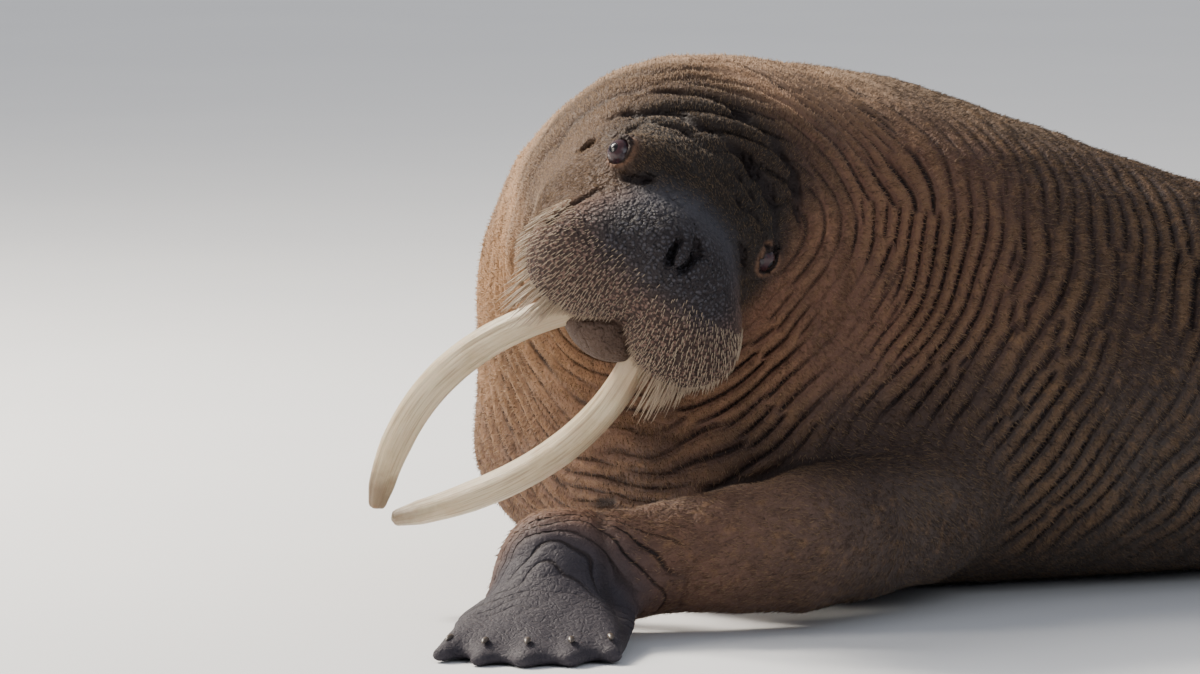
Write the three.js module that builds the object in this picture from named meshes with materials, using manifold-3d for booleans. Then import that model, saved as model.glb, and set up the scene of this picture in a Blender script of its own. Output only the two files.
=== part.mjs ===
// A walrus cow resting on her belly on flat ground, chest raised, head turned to her left and tilted over.
// Millimetres, +Z up. The head end lies along -X and her left flank faces -Y. The origin is on the flat of
// the belly that she rests on. Every piece of flesh is a shell of rays cast onto a smooth field built from
// ellipsoids and a lengthwise profile, so that neighbouring pieces share one outline.
import * as THREE from "three";
import { mergeVertices } from "three/addons/utils/BufferGeometryUtils.js";
import Module from "manifold-3d";

const wasm = await Module();
wasm.setup();

// Driving sizes
const GAP = 0.45; // clearance between pieces that touch
const TRUNK = {
  // lengthwise stations: x, height of the axis, half width, reach up, reach down
  stations: [
    [1240, 92, 92, 60, 70],
    [1130, 122, 172, 98, 118],
    [950, 152, 262, 138, 158],
    [720, 178, 342, 170, 188],
    [450, 194, 388, 203, 206],
    [180, 206, 404, 226, 218],
    [-20, 220, 400, 272, 232],
    [-180, 236, 390, 311, 246],
    [-340, 256, 370, 337, 264],
    [-480, 272, 335, 326, 280],
  ],
  rumpReach: 60, // how far the rounded rear end passes the last station
  chestReach: 288, // how far the rounded chest passes the first one
  chestLean: 0.1, // and how much further for each millimetre up
  fullness: [2.1, 3], // exponent of the cross-section over and under its axis, 2 is an ellipse
};
const HEAD = {
  eyes: [-728, -314, 472], // the point midway between the eyes
  yaw: 60.3, // turned to her left from straight ahead
  pitch: -14.6,
  roll: 38.3, // crown leaning to her left
  eyeSpan: 206,
};
const NECK = [
  { at: [-560, -60, 385], size: [215, 222, 212] },
  { at: [-640, -150, 440], size: [178, 178, 172] },
];
const BLEND = { neck: 90, head: 40, limb: 45 };

// Small vector tools on plain triples
const add = (a, b, k = 1) => [a[0] + k * b[0], a[1] + k * b[1], a[2] + k * b[2]];
const sub = (a, b) => add(a, b, -1);
const dot = (a, b) => a[0] * b[0] + a[1] * b[1] + a[2] * b[2];
const cross = (a, b) => [
  a[1] * b[2] - a[2] * b[1],
  a[2] * b[0] - a[0] * b[2],
  a[0] * b[1] - a[1] * b[0],
];
const unit = (a) => add([0, 0, 0], a, 1 / Math.hypot(...a));
const mix = (a, b, t) => add(add([0, 0, 0], a, 1 - t), b, t);
const lerp = (a, b, t) => a + (b - a) * t;
const radians = (degrees) => (degrees * Math.PI) / 180;

// A right-handed frame of side, forward and up at an origin
function frameAt(origin, forward, upHint) {
  const side = unit(cross(forward, upHint));
  return { origin, side, forward: unit(forward), up: cross(side, unit(forward)) };
}
const place = (frame, [s, f, u]) =>
  add(add(add(frame.origin, frame.side, s), frame.forward, f), frame.up, u);
const inFrame = (frame, p) => {
  const d = sub(p, frame.origin);
  return [dot(d, frame.side), dot(d, frame.forward), dot(d, frame.up)];
};

// The head's own frame: side is her right, forward the way the nose points
function headFrame() {
  const [yaw, pitch, roll] = [HEAD.yaw, HEAD.pitch, HEAD.roll].map(radians);
  const forward = [
    -Math.cos(pitch) * Math.cos(yaw),
    -Math.cos(pitch) * Math.sin(yaw),
    Math.sin(pitch),
  ];
  const level = frameAt(HEAD.eyes, forward, [0, 0, 1]);
  const up = add(add([0, 0, 0], level.up, Math.cos(roll)), level.side, -Math.sin(roll));
  return frameAt(HEAD.eyes, forward, up);
}
const head = headFrame();
const mirrored = (side, [s, f, u]) => [side * s, f, u];

// Fields: negative inside, about a distance near the surface
function ellipsoid(p, centre, size) {
  const q = sub(p, centre);
  const near = Math.hypot(q[0] / size[0], q[1] / size[1], q[2] / size[2]);
  const slope = Math.hypot(q[0] / size[0] ** 2, q[1] / size[1] ** 2, q[2] / size[2] ** 2);
  return slope < 1e-9 ? -Math.min(...size) : (near * (near - 1)) / slope;
}
function blend(k, ...distances) {
  return distances.reduce((a, b) => {
    const h = Math.max(k - Math.abs(a - b), 0) / k;
    return Math.min(a, b) - (h * h * k) / 4;
  });
}
function capsule(p, a, b, ra, rb) {
  const ab = sub(b, a);
  const t = Math.min(1, Math.max(0, dot(sub(p, a), ab) / dot(ab, ab)));
  return Math.hypot(...sub(p, add(a, ab, t))) - lerp(ra, rb, t);
}

// Smooth reading of a table of stations, whose first column falls from row to row
function reading(stations, x) {
  const n = stations.length;
  let i = 0;
  while (i < n - 2 && x < stations[i + 1][0]) i++;
  const [x0, x1] = [stations[i][0], stations[i + 1][0]];
  const t = Math.min(1, Math.max(0, (x - x0) / (x1 - x0)));
  const slope = (j, c) => {
    const [a, b] = [stations[Math.max(j - 1, 0)], stations[Math.min(j + 1, n - 1)]];
    return (b[c] - a[c]) / (b[0] - a[0]);
  };
  const span = x1 - x0;
  return stations[i].slice(1).map((v0, k) => {
    const c = k + 1;
    const v1 = stations[i + 1][c];
    const [m0, m1] = [slope(i, c) * span, slope(i + 1, c) * span];
    const [t2, t3] = [t * t, t * t * t];
    return (
      (2 * t3 - 3 * t2 + 1) * v0 + (t3 - 2 * t2 + t) * m0 + (3 * t2 - 2 * t3) * v1 + (t3 - t2) * m1
    );
  });
}

function trunkField(p) {
  const s = TRUNK.stations;
  const [axis, wide, up, down] = reading(s, p[0]);
  const tall = p[2] > axis ? up : down;
  const ahead = s[s.length - 1][0] - p[0];
  const behind = p[0] - s[0][0];
  const run = ahead > 0 ? TRUNK.chestReach + TRUNK.chestLean * (p[2] - axis) : TRUNK.rumpReach;
  const end = Math.max(ahead, behind, 0) / run;
  const under = Math.min(1, Math.max(0, (axis - p[2]) / (0.6 * tall)));
  const e = lerp(...TRUNK.fullness, under * under * (3 - 2 * under));
  const [a, b, c] = [Math.abs(p[1] / wide), Math.abs((p[2] - axis) / tall), end];
  const near = (a ** e + b ** e + c ** e) ** (1 / e);
  if (near < 1e-6) return -tall;
  const slope = Math.hypot(
    a ** (e - 1) / wide,
    b ** (e - 1) / tall,
    c ** (e - 1) / run,
  ) * near ** (1 - e);
  return (near - 1) / slope;
}

function neckField(p) {
  return blend(BLEND.neck, ...NECK.map((n) => ellipsoid(p, n.at, n.size)));
}

// Head forms in the head's frame, mirrored where they come in pairs
const HEAD_FORMS = {
  cranium: { at: [0, -72, -42], size: [112, 112, 90] },
  face: { at: [0, 28, -58], size: [98, 100, 76] },
  nose: { at: [0, 84, -42], size: [56, 46, 40] },
};
const HEAD_PAIRS = {
  orbit: { at: [75, -13, 2], size: [34, 30, 27] },
  cheek: { at: [74, -42, -98], size: [58, 84, 66] },
  pad: { at: [66, 66, -103], size: [74, 62, 66] },
};
function headField(p) {
  const h = inFrame(head, p);
  const m = [Math.abs(h[0]), h[1], h[2]];
  const single = Object.values(HEAD_FORMS).map((f) => ellipsoid(h, f.at, f.size));
  const pairs = Object.values(HEAD_PAIRS).map((f) => ellipsoid(m, f.at, f.size));
  return blend(BLEND.head, ...single, ...pairs);
}

// The whole animal's flesh, apart from her limbs
function wholeField(p) {
  return blend(BLEND.head, blend(BLEND.neck, trunkField(p), neckField(p)), headField(p));
}

// Cutting planes, as a point and a direction that looks towards the nose
const plane = (cut, p) => dot(sub(p, cut.at), cut.towards);
const NECK_CUT = { at: [-500, -90, 400], towards: unit([-0.72, -0.36, 0.6]) };
const HEAD_SLEEVE = { at: [0, -95, -60], size: [172, 142] };
const MUZZLE_CUT = 22;

// Rays: how far from an origin the field is left, stopped at the floor
const STEP = { least: 2, most: 25, sure: 0.01 };
const RAY_LIMIT = 2500;
function reach(field, origin, direction, floor = 0) {
  let inside = 0;
  let r = 0;
  let value = field(origin);
  while (value < 0 && r < RAY_LIMIT) {
    inside = r;
    r += Math.min(STEP.most, Math.max(STEP.least, -0.7 * value));
    value = field(add(origin, direction, r));
  }
  let outside = r;
  while (outside - inside > STEP.sure) {
    const middle = (inside + outside) / 2;
    if (field(add(origin, direction, middle)) < 0) inside = middle;
    else outside = middle;
  }
  return direction[2] < 0 ? Math.min(inside, (floor - origin[2]) / direction[2]) : inside;
}

// A closed shell of rays: a cylinder whose rings are moved out to the field. A row is a frame whose rays are
// square to its forward, or lean towards it by an angle; a lean of 90 either way is a pole. The rays of a
// flattened form are stretched by its sizes.
function shell(rows, around, field, floor = 0) {
  const form = new THREE.CylinderGeometry(1, 1, rows.length - 1, around, rows.length - 1);
  const at = form.attributes.position;
  const found = new Map();
  for (let i = 0; i < at.count; i++) {
    const [x, y, z] = [at.getX(i), at.getY(i), at.getZ(i)];
    const number = Math.round((rows.length - 1) / 2 - y);
    const row = rows[number];
    const centre = Math.hypot(x, z) < 0.5;
    const key = [number, ...(centre ? [] : [Math.round(x * 1e4), Math.round(z * 1e4)])].join();
    if (!found.has(key)) {
      const lean = radians(row.lean ?? 0);
      const [a, b, c] = row.sizes ?? [1, 1, 1];
      const out = add(add([0, 0, 0], row.side, x * a), row.up, z * c);
      const ray = add(add([0, 0, 0], out, Math.cos(lean)), row.forward, b * Math.sin(lean));
      const pole = Math.abs(row.lean ?? 0) > 89.9;
      const still = centre && !pole;
      const turned = pole ? add([0, 0, 0], row.forward, Math.sign(row.lean)) : unit(still ? row.side : ray);
      const far = still ? 0 : reach(field, row.origin, turned, floor);
      found.set(key, add(row.origin, turned, far));
    }
    at.setXYZ(i, ...found.get(key));
  }
  return solid(form);
}

// A three.js geometry to a solid that faces outwards
function solid(geometry) {
  const bare = geometry.clone();
  bare.deleteAttribute("normal");
  bare.deleteAttribute("uv");
  const merged = mergeVertices(bare, 1e-4);
  const index = merged.index.array;
  const build = (order) => {
    const faces = [];
    for (let i = 0; i < index.length; i += 3) {
      const [a, b, c] = [index[i], index[i + order[0]], index[i + order[1]]];
      if (a !== b && b !== c && c !== a) faces.push(a, b, c);
    }
    return new wasm.Manifold(
      new wasm.Mesh({
        numProp: 3,
        vertProperties: new Float32Array(merged.attributes.position.array),
        triVerts: new Uint32Array(faces),
      }),
    );
  };
  const made = build([1, 2]);
  return made.volume() > 0 ? made : build([2, 1]);
}
const largest = (made) => made.decompose().reduce((a, b) => (a.volume() > b.volume() ? a : b));

// A three.js geometry in a frame: its X to the side, its Y forward, its Z up
function placed(geometry, frame) {
  const columns = [frame.side, frame.forward, frame.up].map((v) => new THREE.Vector3(...v));
  const matrix = new THREE.Matrix4().makeBasis(...columns).setPosition(...frame.origin);
  return solid(geometry.clone().applyMatrix4(matrix));
}

// The half of space on the nose side of a cut, as a large block that starts a little way off it
const HALF = 2400;
function beyond(cut, offset) {
  const frame = frameAt(add(cut.at, cut.towards, offset + HALF / 2), cut.towards, [0, 0.1, 1]);
  return placed(new THREE.BoxGeometry(HALF, HALF, HALF), frame);
}
// The space that the head fills: an oval sleeve round the face, open to the front
function headSleeve(grow) {
  const length = 500;
  const form = new THREE.CylinderGeometry(1, 1, length, 48);
  form.scale(HEAD_SLEEVE.size[0] + grow, 1, HEAD_SLEEVE.size[1] + grow);
  const middle = [0, HEAD_SLEEVE.at[1] - grow + length / 2, HEAD_SLEEVE.at[2]];
  return placed(form, { ...head, origin: place(head, middle) });
}
function insideSleeve(p) {
  const h = sub(inFrame(head, p), HEAD_SLEEVE.at);
  const [a, b] = HEAD_SLEEVE.size;
  return Math.max((Math.hypot(h[0] / a, h[2] / b) - 1) * Math.min(a, b), -h[1]);
}

// Evenly spaced numbers from one value to another
function between(from, to, step) {
  const n = Math.max(1, Math.round(Math.abs(to - from) / step));
  return Array.from({ length: n + 1 }, (_, i) => lerp(from, to, i / n));
}

// The trunk, in lengths cut square to X
const AROUND = { trunk: 36, neck: 36, head: 38, jaw: 20, limb: 14, fluke: 26, tusk: 12 };
const TRUNK_CUTS = [1215, 760, 200, -220];
const TRUNK_STEP = 75;
const MARGIN = 70; // how far a shell runs past the plane that trims it
function trunkRow(x, lean = 0) {
  const [axis] = reading(TRUNK.stations, x);
  return { origin: [x, 0, axis], side: [0, -1, 0], forward: [-1, 0, 0], up: [0, 0, 1], lean };
}
function trunkPiece(from, to) {
  const rows = between(from - GAP / 2, to + GAP / 2, TRUNK_STEP).map((x) => trunkRow(x));
  return shell(rows, AROUND.trunk, trunkField);
}
const DOME = [11, 22, 33, 44, 55, 66, 76, 84, 90];
function chestPiece() {
  const last = TRUNK.stations[TRUNK.stations.length - 1][0];
  const field = (p) =>
    Math.max(wholeField(p), plane(NECK_CUT, p) - MARGIN, -insideSleeve(p) - MARGIN);
  const rows = between(TRUNK_CUTS[3] - GAP / 2, last, TRUNK_STEP).map((x) => trunkRow(x));
  rows.push(...DOME.map((lean) => trunkRow(last, lean)));
  const whole = shell(rows, AROUND.trunk, field);
  return largest(whole.subtract(beyond(NECK_CUT, -GAP / 2)).subtract(headSleeve(GAP)));
}
function tailPiece() {
  const field = (p) => trunkField(p);
  const rows = [trunkRow(TRUNK_CUTS[0] + GAP / 2)];
  const first = TRUNK.stations[0][0];
  rows.push(trunkRow(first));
  rows.push(...[-30, -60, -90].map((lean) => trunkRow(first, lean)));
  return shell(rows, AROUND.trunk, field);
}

// The neck, from the shoulders to the back of the head
function neckPiece() {
  const origin = mix(NECK[0].at, NECK[1].at, 0.3);
  const frame = frameAt(origin, NECK_CUT.towards, [0, 0, 1]);
  const field = (p) =>
    Math.max(wholeField(p), -plane(NECK_CUT, p) - MARGIN, -insideSleeve(p) - MARGIN);
  const rows = between(-90, 90, 8).map((lean) => ({ ...frame, lean }));
  const whole = shell(rows, AROUND.neck, field);
  return largest(whole.intersect(beyond(NECK_CUT, GAP / 2)).subtract(headSleeve(GAP)));
}

// The head and muzzle, in rows square to the nose's line
function headRow(f, lean = 0) {
  const drop = lerp(-52, -92, Math.min(1, Math.max(0, (f + 110) / 180)));
  return { ...head, origin: place(head, [0, f, drop]), lean };
}
function headPiece() {
  const field = (p) => Math.max(wholeField(p), insideSleeve(p) - MARGIN);
  const rows = between(HEAD_SLEEVE.at[1], MUZZLE_CUT - GAP / 2, 15).map((f) => headRow(f));
  return largest(shell(rows, AROUND.head, field).intersect(headSleeve(0)));
}
function muzzlePiece() {
  const rows = between(MUZZLE_CUT + GAP / 2, 64, 13).map((f) => headRow(f));
  rows.push(...[13, 26, 39, 52, 65, 78, 90].map((lean) => headRow(64, lean)));
  return shell(rows, AROUND.head, wholeField);
}

// Lower jaw: a blunt wedge between the tusks, its lip just under the upper one
const JAW = { at: [0, 36, -156], size: [57, 66, 42] };
function jawPiece(grow = 0) {
  const frame = { ...head, origin: place(head, JAW.at), sizes: JAW.size };
  const rows = between(-90, 90, 18).map((lean) => ({ ...frame, lean }));
  return shell(rows, AROUND.jaw, (p) => ellipsoid(inFrame(head, p), JAW.at, JAW.size) - grow);
}

// Slits of the nostrils and the small holes of the ears, as stretched balls
const NOSTRIL = { at: [14, 122, -24], size: [4.5, 16, 15], turn: 24 };
const EAR = { at: [108, -78, -40], size: [16, 5, 9] };
function nostrilPiece(side) {
  const form = new THREE.SphereGeometry(1, 12, 8).scale(...NOSTRIL.size);
  form.rotateY(radians(side * NOSTRIL.turn));
  return placed(form, { ...head, origin: place(head, mirrored(side, NOSTRIL.at)) });
}
function earPiece(side) {
  const form = new THREE.SphereGeometry(1, 12, 8).scale(...EAR.size);
  return placed(form, { ...head, origin: place(head, mirrored(side, EAR.at)) });
}

// Tusks: a bowed line from the lip to a tip beside the other's
const TUSK = {
  root: [60, 45, -193],
  tip: [34, -36, -515],
  apart: 10.8, // each tip's distance from the line between them
  bow: [40, -11, 0],
  inside: 0.24, // share of the visible length that runs on up into the muzzle
  stations: [
    [-1, 18.5],
    [0, 18.5],
    [0.4, 19.5],
    [0.75, 18.5],
    [0.92, 15],
    [1, 9.5],
  ],
};
function tuskLine(side, t) {
  const root = mirrored(side, TUSK.root);
  const tip = [TUSK.tip[0] + side * TUSK.apart, TUSK.tip[1], TUSK.tip[2]];
  const bow = mirrored(side, TUSK.bow);
  return place(head, add(mix(root, tip, t), bow, 4 * t * (1 - t)));
}
function tuskRadius(t) {
  const list = TUSK.stations;
  let i = 0;
  while (i < list.length - 2 && t > list[i + 1][0]) i++;
  const k = (t - list[i][0]) / (list[i + 1][0] - list[i][0]);
  return lerp(list[i][1], list[i + 1][1], Math.min(1, Math.max(0, k)));
}
function tuskPiece(side, grow = 0) {
  const end = TUSK.stations[TUSK.stations.length - 1][0];
  const ts = between(-TUSK.inside, end, 0.075);
  const rows = ts.map((t) => {
    const forward = unit(sub(tuskLine(side, t + 0.02), tuskLine(side, t - 0.02)));
    return { ...frameAt(tuskLine(side, t), forward, head.forward), radius: tuskRadius(t) + grow };
  });
  const last = rows[rows.length - 1];
  const round = [30, 60, 90].map((lean) => ({ ...last, lean }));
  const all = grow ? [...rows, { ...last, origin: add(last.origin, last.forward, 10) }] : [...rows, ...round];
  return tube(all, AROUND.tusk);
}
// A tube of rows with radii of their own
function tube(rows, around) {
  const form = new THREE.CylinderGeometry(1, 1, rows.length - 1, around, rows.length - 1);
  const at = form.attributes.position;
  for (let i = 0; i < at.count; i++) {
    const row = rows[Math.round((rows.length - 1) / 2 - at.getY(i))];
    const lean = radians(row.lean ?? 0);
    const [wide, thick] = [row.radius, row.radius * (row.flat ?? 1)];
    const out = add(add([0, 0, 0], row.side, at.getX(i) * wide), row.up, at.getZ(i) * thick);
    const forward = row.radius * Math.sin(lean);
    at.setXYZ(i, ...add(add(row.origin, out, Math.cos(lean)), row.forward, forward));
  }
  return solid(form);
}

// Eyes, and the lids round them
const EYE = { at: [99, -2, 0], radius: 16.5, looks: unit([0.86, 0.48, 0.12]), lid: [15.5, 4.2] };
function eyeFrame(side) {
  const origin = place(head, mirrored(side, EYE.at));
  const looks = sub(place(head, mirrored(side, EYE.looks)), head.origin);
  return frameAt(origin, looks, head.up);
}
function eyePiece(side, grow = 0) {
  return placed(new THREE.SphereGeometry(EYE.radius + grow, 16, 10), eyeFrame(side));
}
function lidRing(side) {
  const frame = eyeFrame(side);
  const ring = new THREE.TorusGeometry(EYE.lid[0], EYE.lid[1], 6, 20).rotateX(Math.PI / 2);
  ring.scale(1, 1, 0.82);
  return placed(ring, { ...frame, origin: add(frame.origin, frame.forward, 8) });
}

// Flippers: a limb of round lengths, and a flat fan of digits joined by skin
const FORE_FAN = {
  size: [100, 140, 30],
  slope: 0.14, // how fast the fan sinks towards the digits' ends
  spread: 8, // degrees between neighbouring digits
  lengths: [112, 140, 152, 148, 128],
  root: 30, // distance between the digits' roots
  thick: [22, 13], // radius of a digit at its root and end
  nails: [0, 1, 2, 3, 4],
  nail: [4.2, 18, 3.4], // half width, length, half height
};
const HIND_FAN = {
  size: [116, 192, 24],
  slope: 0.05,
  spread: 12,
  lengths: [226, 206, 198, 206, 226],
  root: 30,
  thick: [22, 13],
  nails: [1, 2, 3],
  nail: [4.4, 24, 3.4],
};
const FLIPPERS = {
  fore_left: {
    limb: [[-420, -300, 112], [-641, -392, 96], [-905, -322, 78]],
    radii: [88, 79, 52],
    palm: [-962, -396, 24],
    points: [-0.62, -0.78, 0],
    fan: FORE_FAN,
  },
  fore_right: {
    limb: [[-330, 280, 128], [-225, 405, 112], [-222, 545, 78]],
    radii: [92, 82, 54],
    palm: [-232, 640, 24],
    points: [-0.05, 1, 0],
    fan: FORE_FAN,
  },
  hind_left: {
    limb: [[1080, -80, 100], [1215, -105, 62], [1290, -125, 42]],
    radii: [95, 58, 38],
    palm: [1400, -165, 20],
    points: [1, -0.36, 0],
    fan: HIND_FAN,
  },
  hind_right: {
    limb: [[1080, 80, 100], [1215, 105, 62], [1290, 125, 42]],
    radii: [95, 58, 38],
    palm: [1400, 165, 20],
    points: [1, 0.36, 0],
    fan: HIND_FAN,
  },
};
const LIMB_BLEND = { joint: 60, web: 34 };
const palmFrame = (limb) => frameAt(limb.palm, unit(limb.points), [0, 0, 1]);
// A digit's root and the way it points, in the palm's frame
function digitLine(fan, number) {
  const off = number - (fan.lengths.length - 1) / 2;
  const turn = radians(fan.spread * off);
  return { root: [off * fan.root, 0, 0], points: [Math.sin(turn), Math.cos(turn), 0] };
}
function limbField(limb, p) {
  const { fan } = limb;
  const q = inFrame(palmFrame(limb), p);
  q[2] += fan.slope * q[1];
  const palm = ellipsoid(q, [0, 0, 0], fan.size);
  const digits = fan.lengths.map((length, i) => {
    const { root, points } = digitLine(fan, i);
    return capsule(q, root, add(root, points, length), ...fan.thick);
  });
  const [a, b, c] = limb.limb;
  const [ra, rb, rc] = limb.radii;
  const arm = Math.min(capsule(p, a, b, ra, rb), capsule(p, b, c, rb, rc));
  const wrist = capsule(p, c, limb.palm, rc, fan.size[2]);
  return blend(LIMB_BLEND.joint, arm, blend(LIMB_BLEND.joint, wrist, blend(LIMB_BLEND.web, palm, ...digits)));
}
// The limb's round part in rows along its bend, from inside the trunk to the palm
function limbPiece(limb) {
  const line = new THREE.CatmullRomCurve3([...limb.limb, limb.palm].map((v) => new THREE.Vector3(...v)));
  const rows = between(0.02, 0.86, 0.06).map((t) => {
    const forward = line.getTangent(t).toArray();
    return frameAt(line.getPoint(t).toArray(), forward, [0, 0, 1]);
  });
  return shell(rows, AROUND.limb, (p) => limbField(limb, p));
}
function wristCut(limb) {
  const [, , wrist] = limb.limb;
  return { at: mix(wrist, limb.palm, 0.2), towards: unit(sub(limb.palm, wrist)) };
}
function fanPiece(limb, cut) {
  const frame = palmFrame(limb);
  const longest = Math.max(...limb.fan.lengths);
  const sizes = [limb.fan.size[0] * 1.2, longest, limb.fan.size[2] * 2.4];
  const origin = add(frame.origin, frame.forward, 0.22 * longest);
  const turned = { side: frame.side, forward: frame.up, up: frame.forward };
  const rows = [-90, -45, -15, -4, 3, 12, 26, 42, 60, 90].map((lean) => ({
    ...turned,
    origin,
    sizes: [sizes[0], sizes[2], sizes[1]],
    lean,
  }));
  return shell(rows, AROUND.fluke, (p) => Math.max(limbField(limb, p), -plane(cut, p) - GAP));
}

// Small nails on the upper side of the digits, some way back from their ends
function nailPieces(limb) {
  const { fan } = limb;
  const frame = palmFrame(limb);
  return fan.nails.map((number) => {
    const { root, points } = digitLine(fan, number);
    const at = add(root, points, 0.84 * fan.lengths[number]);
    at[2] = -fan.slope * at[1];
    const from = place(frame, at);
    const top = add(from, [0, 0, 1], reach((p) => limbField(limb, p), from, [0, 0, 1]));
    const forward = sub(place(frame, [points[0], points[1], -fan.slope]), frame.origin);
    const form = new THREE.ConeGeometry(1, 1, 6, 1).scale(fan.nail[0], fan.nail[1], fan.nail[2]);
    return placed(form, frameAt(add(top, [0, 0, 1], -0.6), forward, [0, 0, 1]));
  });
}

// Whiskers on both pads: short and stiff in front, long and drooping along the lower and outer edges
const WHISKER = {
  centre: [58, 46, -104], // in the pad, where their directions spread from
  rows: [22, 8, -7, -22, -37, -52], // degrees up from level
  turns: [-22, -7, 8, 23, 38, 53, 68, 82], // degrees out from straight ahead
  jitter: 4,
  front: 12, // lengths
  edge: 40,
  radius: 1.6,
  sunk: 7,
  clear: 3.5, // distance kept from tusks and lower jaw
};
const smooth = (low, high, x) => {
  const t = Math.min(1, Math.max(0, (x - low) / (high - low)));
  return t * t * (3 - 2 * t);
};
function seeded(seed) {
  let state = seed;
  return () => {
    state = (state * 1664525 + 1013904223) % 4294967296;
    return state / 4294967296 - 0.5;
  };
}
function outward(field, p) {
  const e = 1;
  const slope = [0, 1, 2].map((i) => {
    const d = [0, 0, 0];
    d[i] = e;
    return field(add(p, d)) - field(sub(p, d));
  });
  return unit(slope);
}
function isClear(line, side) {
  return line.every((h) => {
    const p = place(head, h);
    const nearTusk = between(-TUSK.inside, 1, 0.04).some((t) => {
      const away = Math.hypot(...sub(p, tuskLine(side, t)));
      return away < tuskRadius(t) + WHISKER.clear;
    });
    return !nearTusk && ellipsoid(h, JAW.at, JAW.size) > WHISKER.clear;
  });
}
// One tapered spine, sunk into the pad and bent downwards
function spine(root, points, length, sag) {
  const { radius, sunk } = WHISKER;
  const form = new THREE.ConeGeometry(radius, 1, 3, 2);
  const frame = frameAt([0, 0, 0], points, Math.abs(points[2]) > 0.9 ? [0, 1, 0] : [0, 0, 1]);
  const at = form.attributes.position;
  for (let i = 0; i < at.count; i++) {
    const t = at.getY(i) + 0.5;
    const out = place(frame, [at.getX(i), 0, at.getZ(i)]);
    const along = add(add([0, 0, 0], points, lerp(-sunk, length, t)), [0, 0, -1], sag * t * t);
    at.setXYZ(i, ...add(add(root, along), out));
  }
  return placed(form, head);
}
function whiskers(side) {
  const random = seeded(side > 0 ? 11 : 29);
  const field = (h) => headField(place(head, h));
  const centre = mirrored(side, WHISKER.centre);
  const made = [];
  WHISKER.rows.forEach((row, number) => {
    for (const turn of WHISKER.turns) {
      const lift = radians(row + WHISKER.jitter * random());
      const out = radians(turn + (number % 2 ? 7 : 0) + WHISKER.jitter * random());
      const ray = [side * Math.sin(out) * Math.cos(lift), Math.cos(out) * Math.cos(lift), Math.sin(lift)];
      const root = add(centre, ray, reach(field, centre, ray, -1e6));
      const low = smooth(-15, -50, row);
      const outer = smooth(45, 85, turn) * smooth(30, 0, row);
      const edge = Math.max(low, outer);
      const length = lerp(WHISKER.front, WHISKER.edge, edge) * (1 + 0.3 * random());
      const normal = outward(field, root);
      const points = unit(add(normal, [0, 0.15, -0.9], 0.35 + 0.5 * edge));
      const sag = 0.12 * length * edge;
      const line = [0, 0.5, 1].map((t) => add(add(root, points, t * length), [0, 0, -1], sag * t * t));
      const onMuzzle = root[1] > MUZZLE_CUT + 10 && !(Math.abs(root[0]) < 34 && root[2] > -70);
      if (onMuzzle && isClear(line, side)) made.push(spine(root, points, length, sag));
    }
  });
  return made;
}

function geometryOf(made) {
  const data = made.getMesh();
  const points = new Float32Array(data.numVert * 3);
  for (let i = 0; i < data.numVert; i++)
    points.set(data.vertProperties.subarray(i * data.numProp, i * data.numProp + 3), i * 3);
  const geometry = new THREE.BufferGeometry();
  geometry.setAttribute("position", new THREE.BufferAttribute(points, 3));
  geometry.setIndex(new THREE.BufferAttribute(data.triVerts, 1));
  return geometry;
}
// A solid joined with copies of itself moved a little each way, to cut a neighbour clear of it
function grown(made, by = GAP) {
  const moves = [[by, 0, 0], [-by, 0, 0], [0, by, 0], [0, -by, 0], [0, 0, by], [0, 0, -by]];
  return moves.map((move) => made.translate(move)).reduce((a, b) => a.add(b), made);
}
const LOOKS = {
  hide: { color: 0x8a5f45, roughness: 0.85, metalness: 0 },
  muzzle: { color: 0x8a7a78, roughness: 0.7, metalness: 0 },
  jaw: { color: 0x8d7370, roughness: 0.7, metalness: 0 },
  tusk: { color: 0xe2d6bb, roughness: 0.45, metalness: 0 },
  eye: { color: 0x2a1c20, roughness: 0.1, metalness: 0 },
  fore_flipper: { color: 0x4f4a52, roughness: 0.6, metalness: 0 },
  hind_flipper: { color: 0x4f4a52, roughness: 0.6, metalness: 0 },
};
function meshOf(name, made) {
  const kind = Object.keys(LOOKS).find((key) => name.startsWith(key)) ?? "hide";
  const mesh = new THREE.Mesh(geometryOf(made), new THREE.MeshStandardMaterial(LOOKS[kind]));
  mesh.name = name;
  return mesh;
}

const pieces = {};
pieces.chest = chestPiece();
pieces.abdomen = trunkPiece(TRUNK_CUTS[2], TRUNK_CUTS[3]);
pieces.loin = trunkPiece(TRUNK_CUTS[1], TRUNK_CUTS[2]);
pieces.hindquarters = trunkPiece(TRUNK_CUTS[0], TRUNK_CUTS[1]);
pieces.neck = neckPiece();
pieces.head = headPiece();
pieces.muzzle = muzzlePiece();
pieces.tail = tailPiece();
const front = grown(pieces.chest).add(grown(pieces.neck)).add(grown(pieces.abdomen));
const rear = grown(pieces.hindquarters).add(grown(pieces.tail));
for (const [name, limb] of Object.entries(FLIPPERS)) {
  const body = name.startsWith("fore") ? front : rear;
  const cut = wristCut(limb);
  const arm = name.startsWith("fore") ? "forearm" : "ankle";
  const hand = name.startsWith("fore") ? "fore_flipper" : "hind_flipper";
  const side = name.split("_")[1];
  const whole = limbPiece(limb);
  const fan = fanPiece(limb, cut).add(whole).intersect(beyond(cut, GAP / 2)).subtract(body);
  pieces[arm + "_" + side] = largest(whole.subtract(beyond(cut, -GAP / 2)).subtract(body));
  pieces[hand + "_" + side] = largest(nailPieces(limb).reduce((a, b) => a.add(b), fan));
}
const tuskSockets = tuskPiece(1, GAP).add(tuskPiece(-1, GAP));
const eyeSockets = eyePiece(1, GAP).add(eyePiece(-1, GAP));
pieces.jaw = jawPiece();
const jawSocket = jawPiece(GAP);
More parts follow.
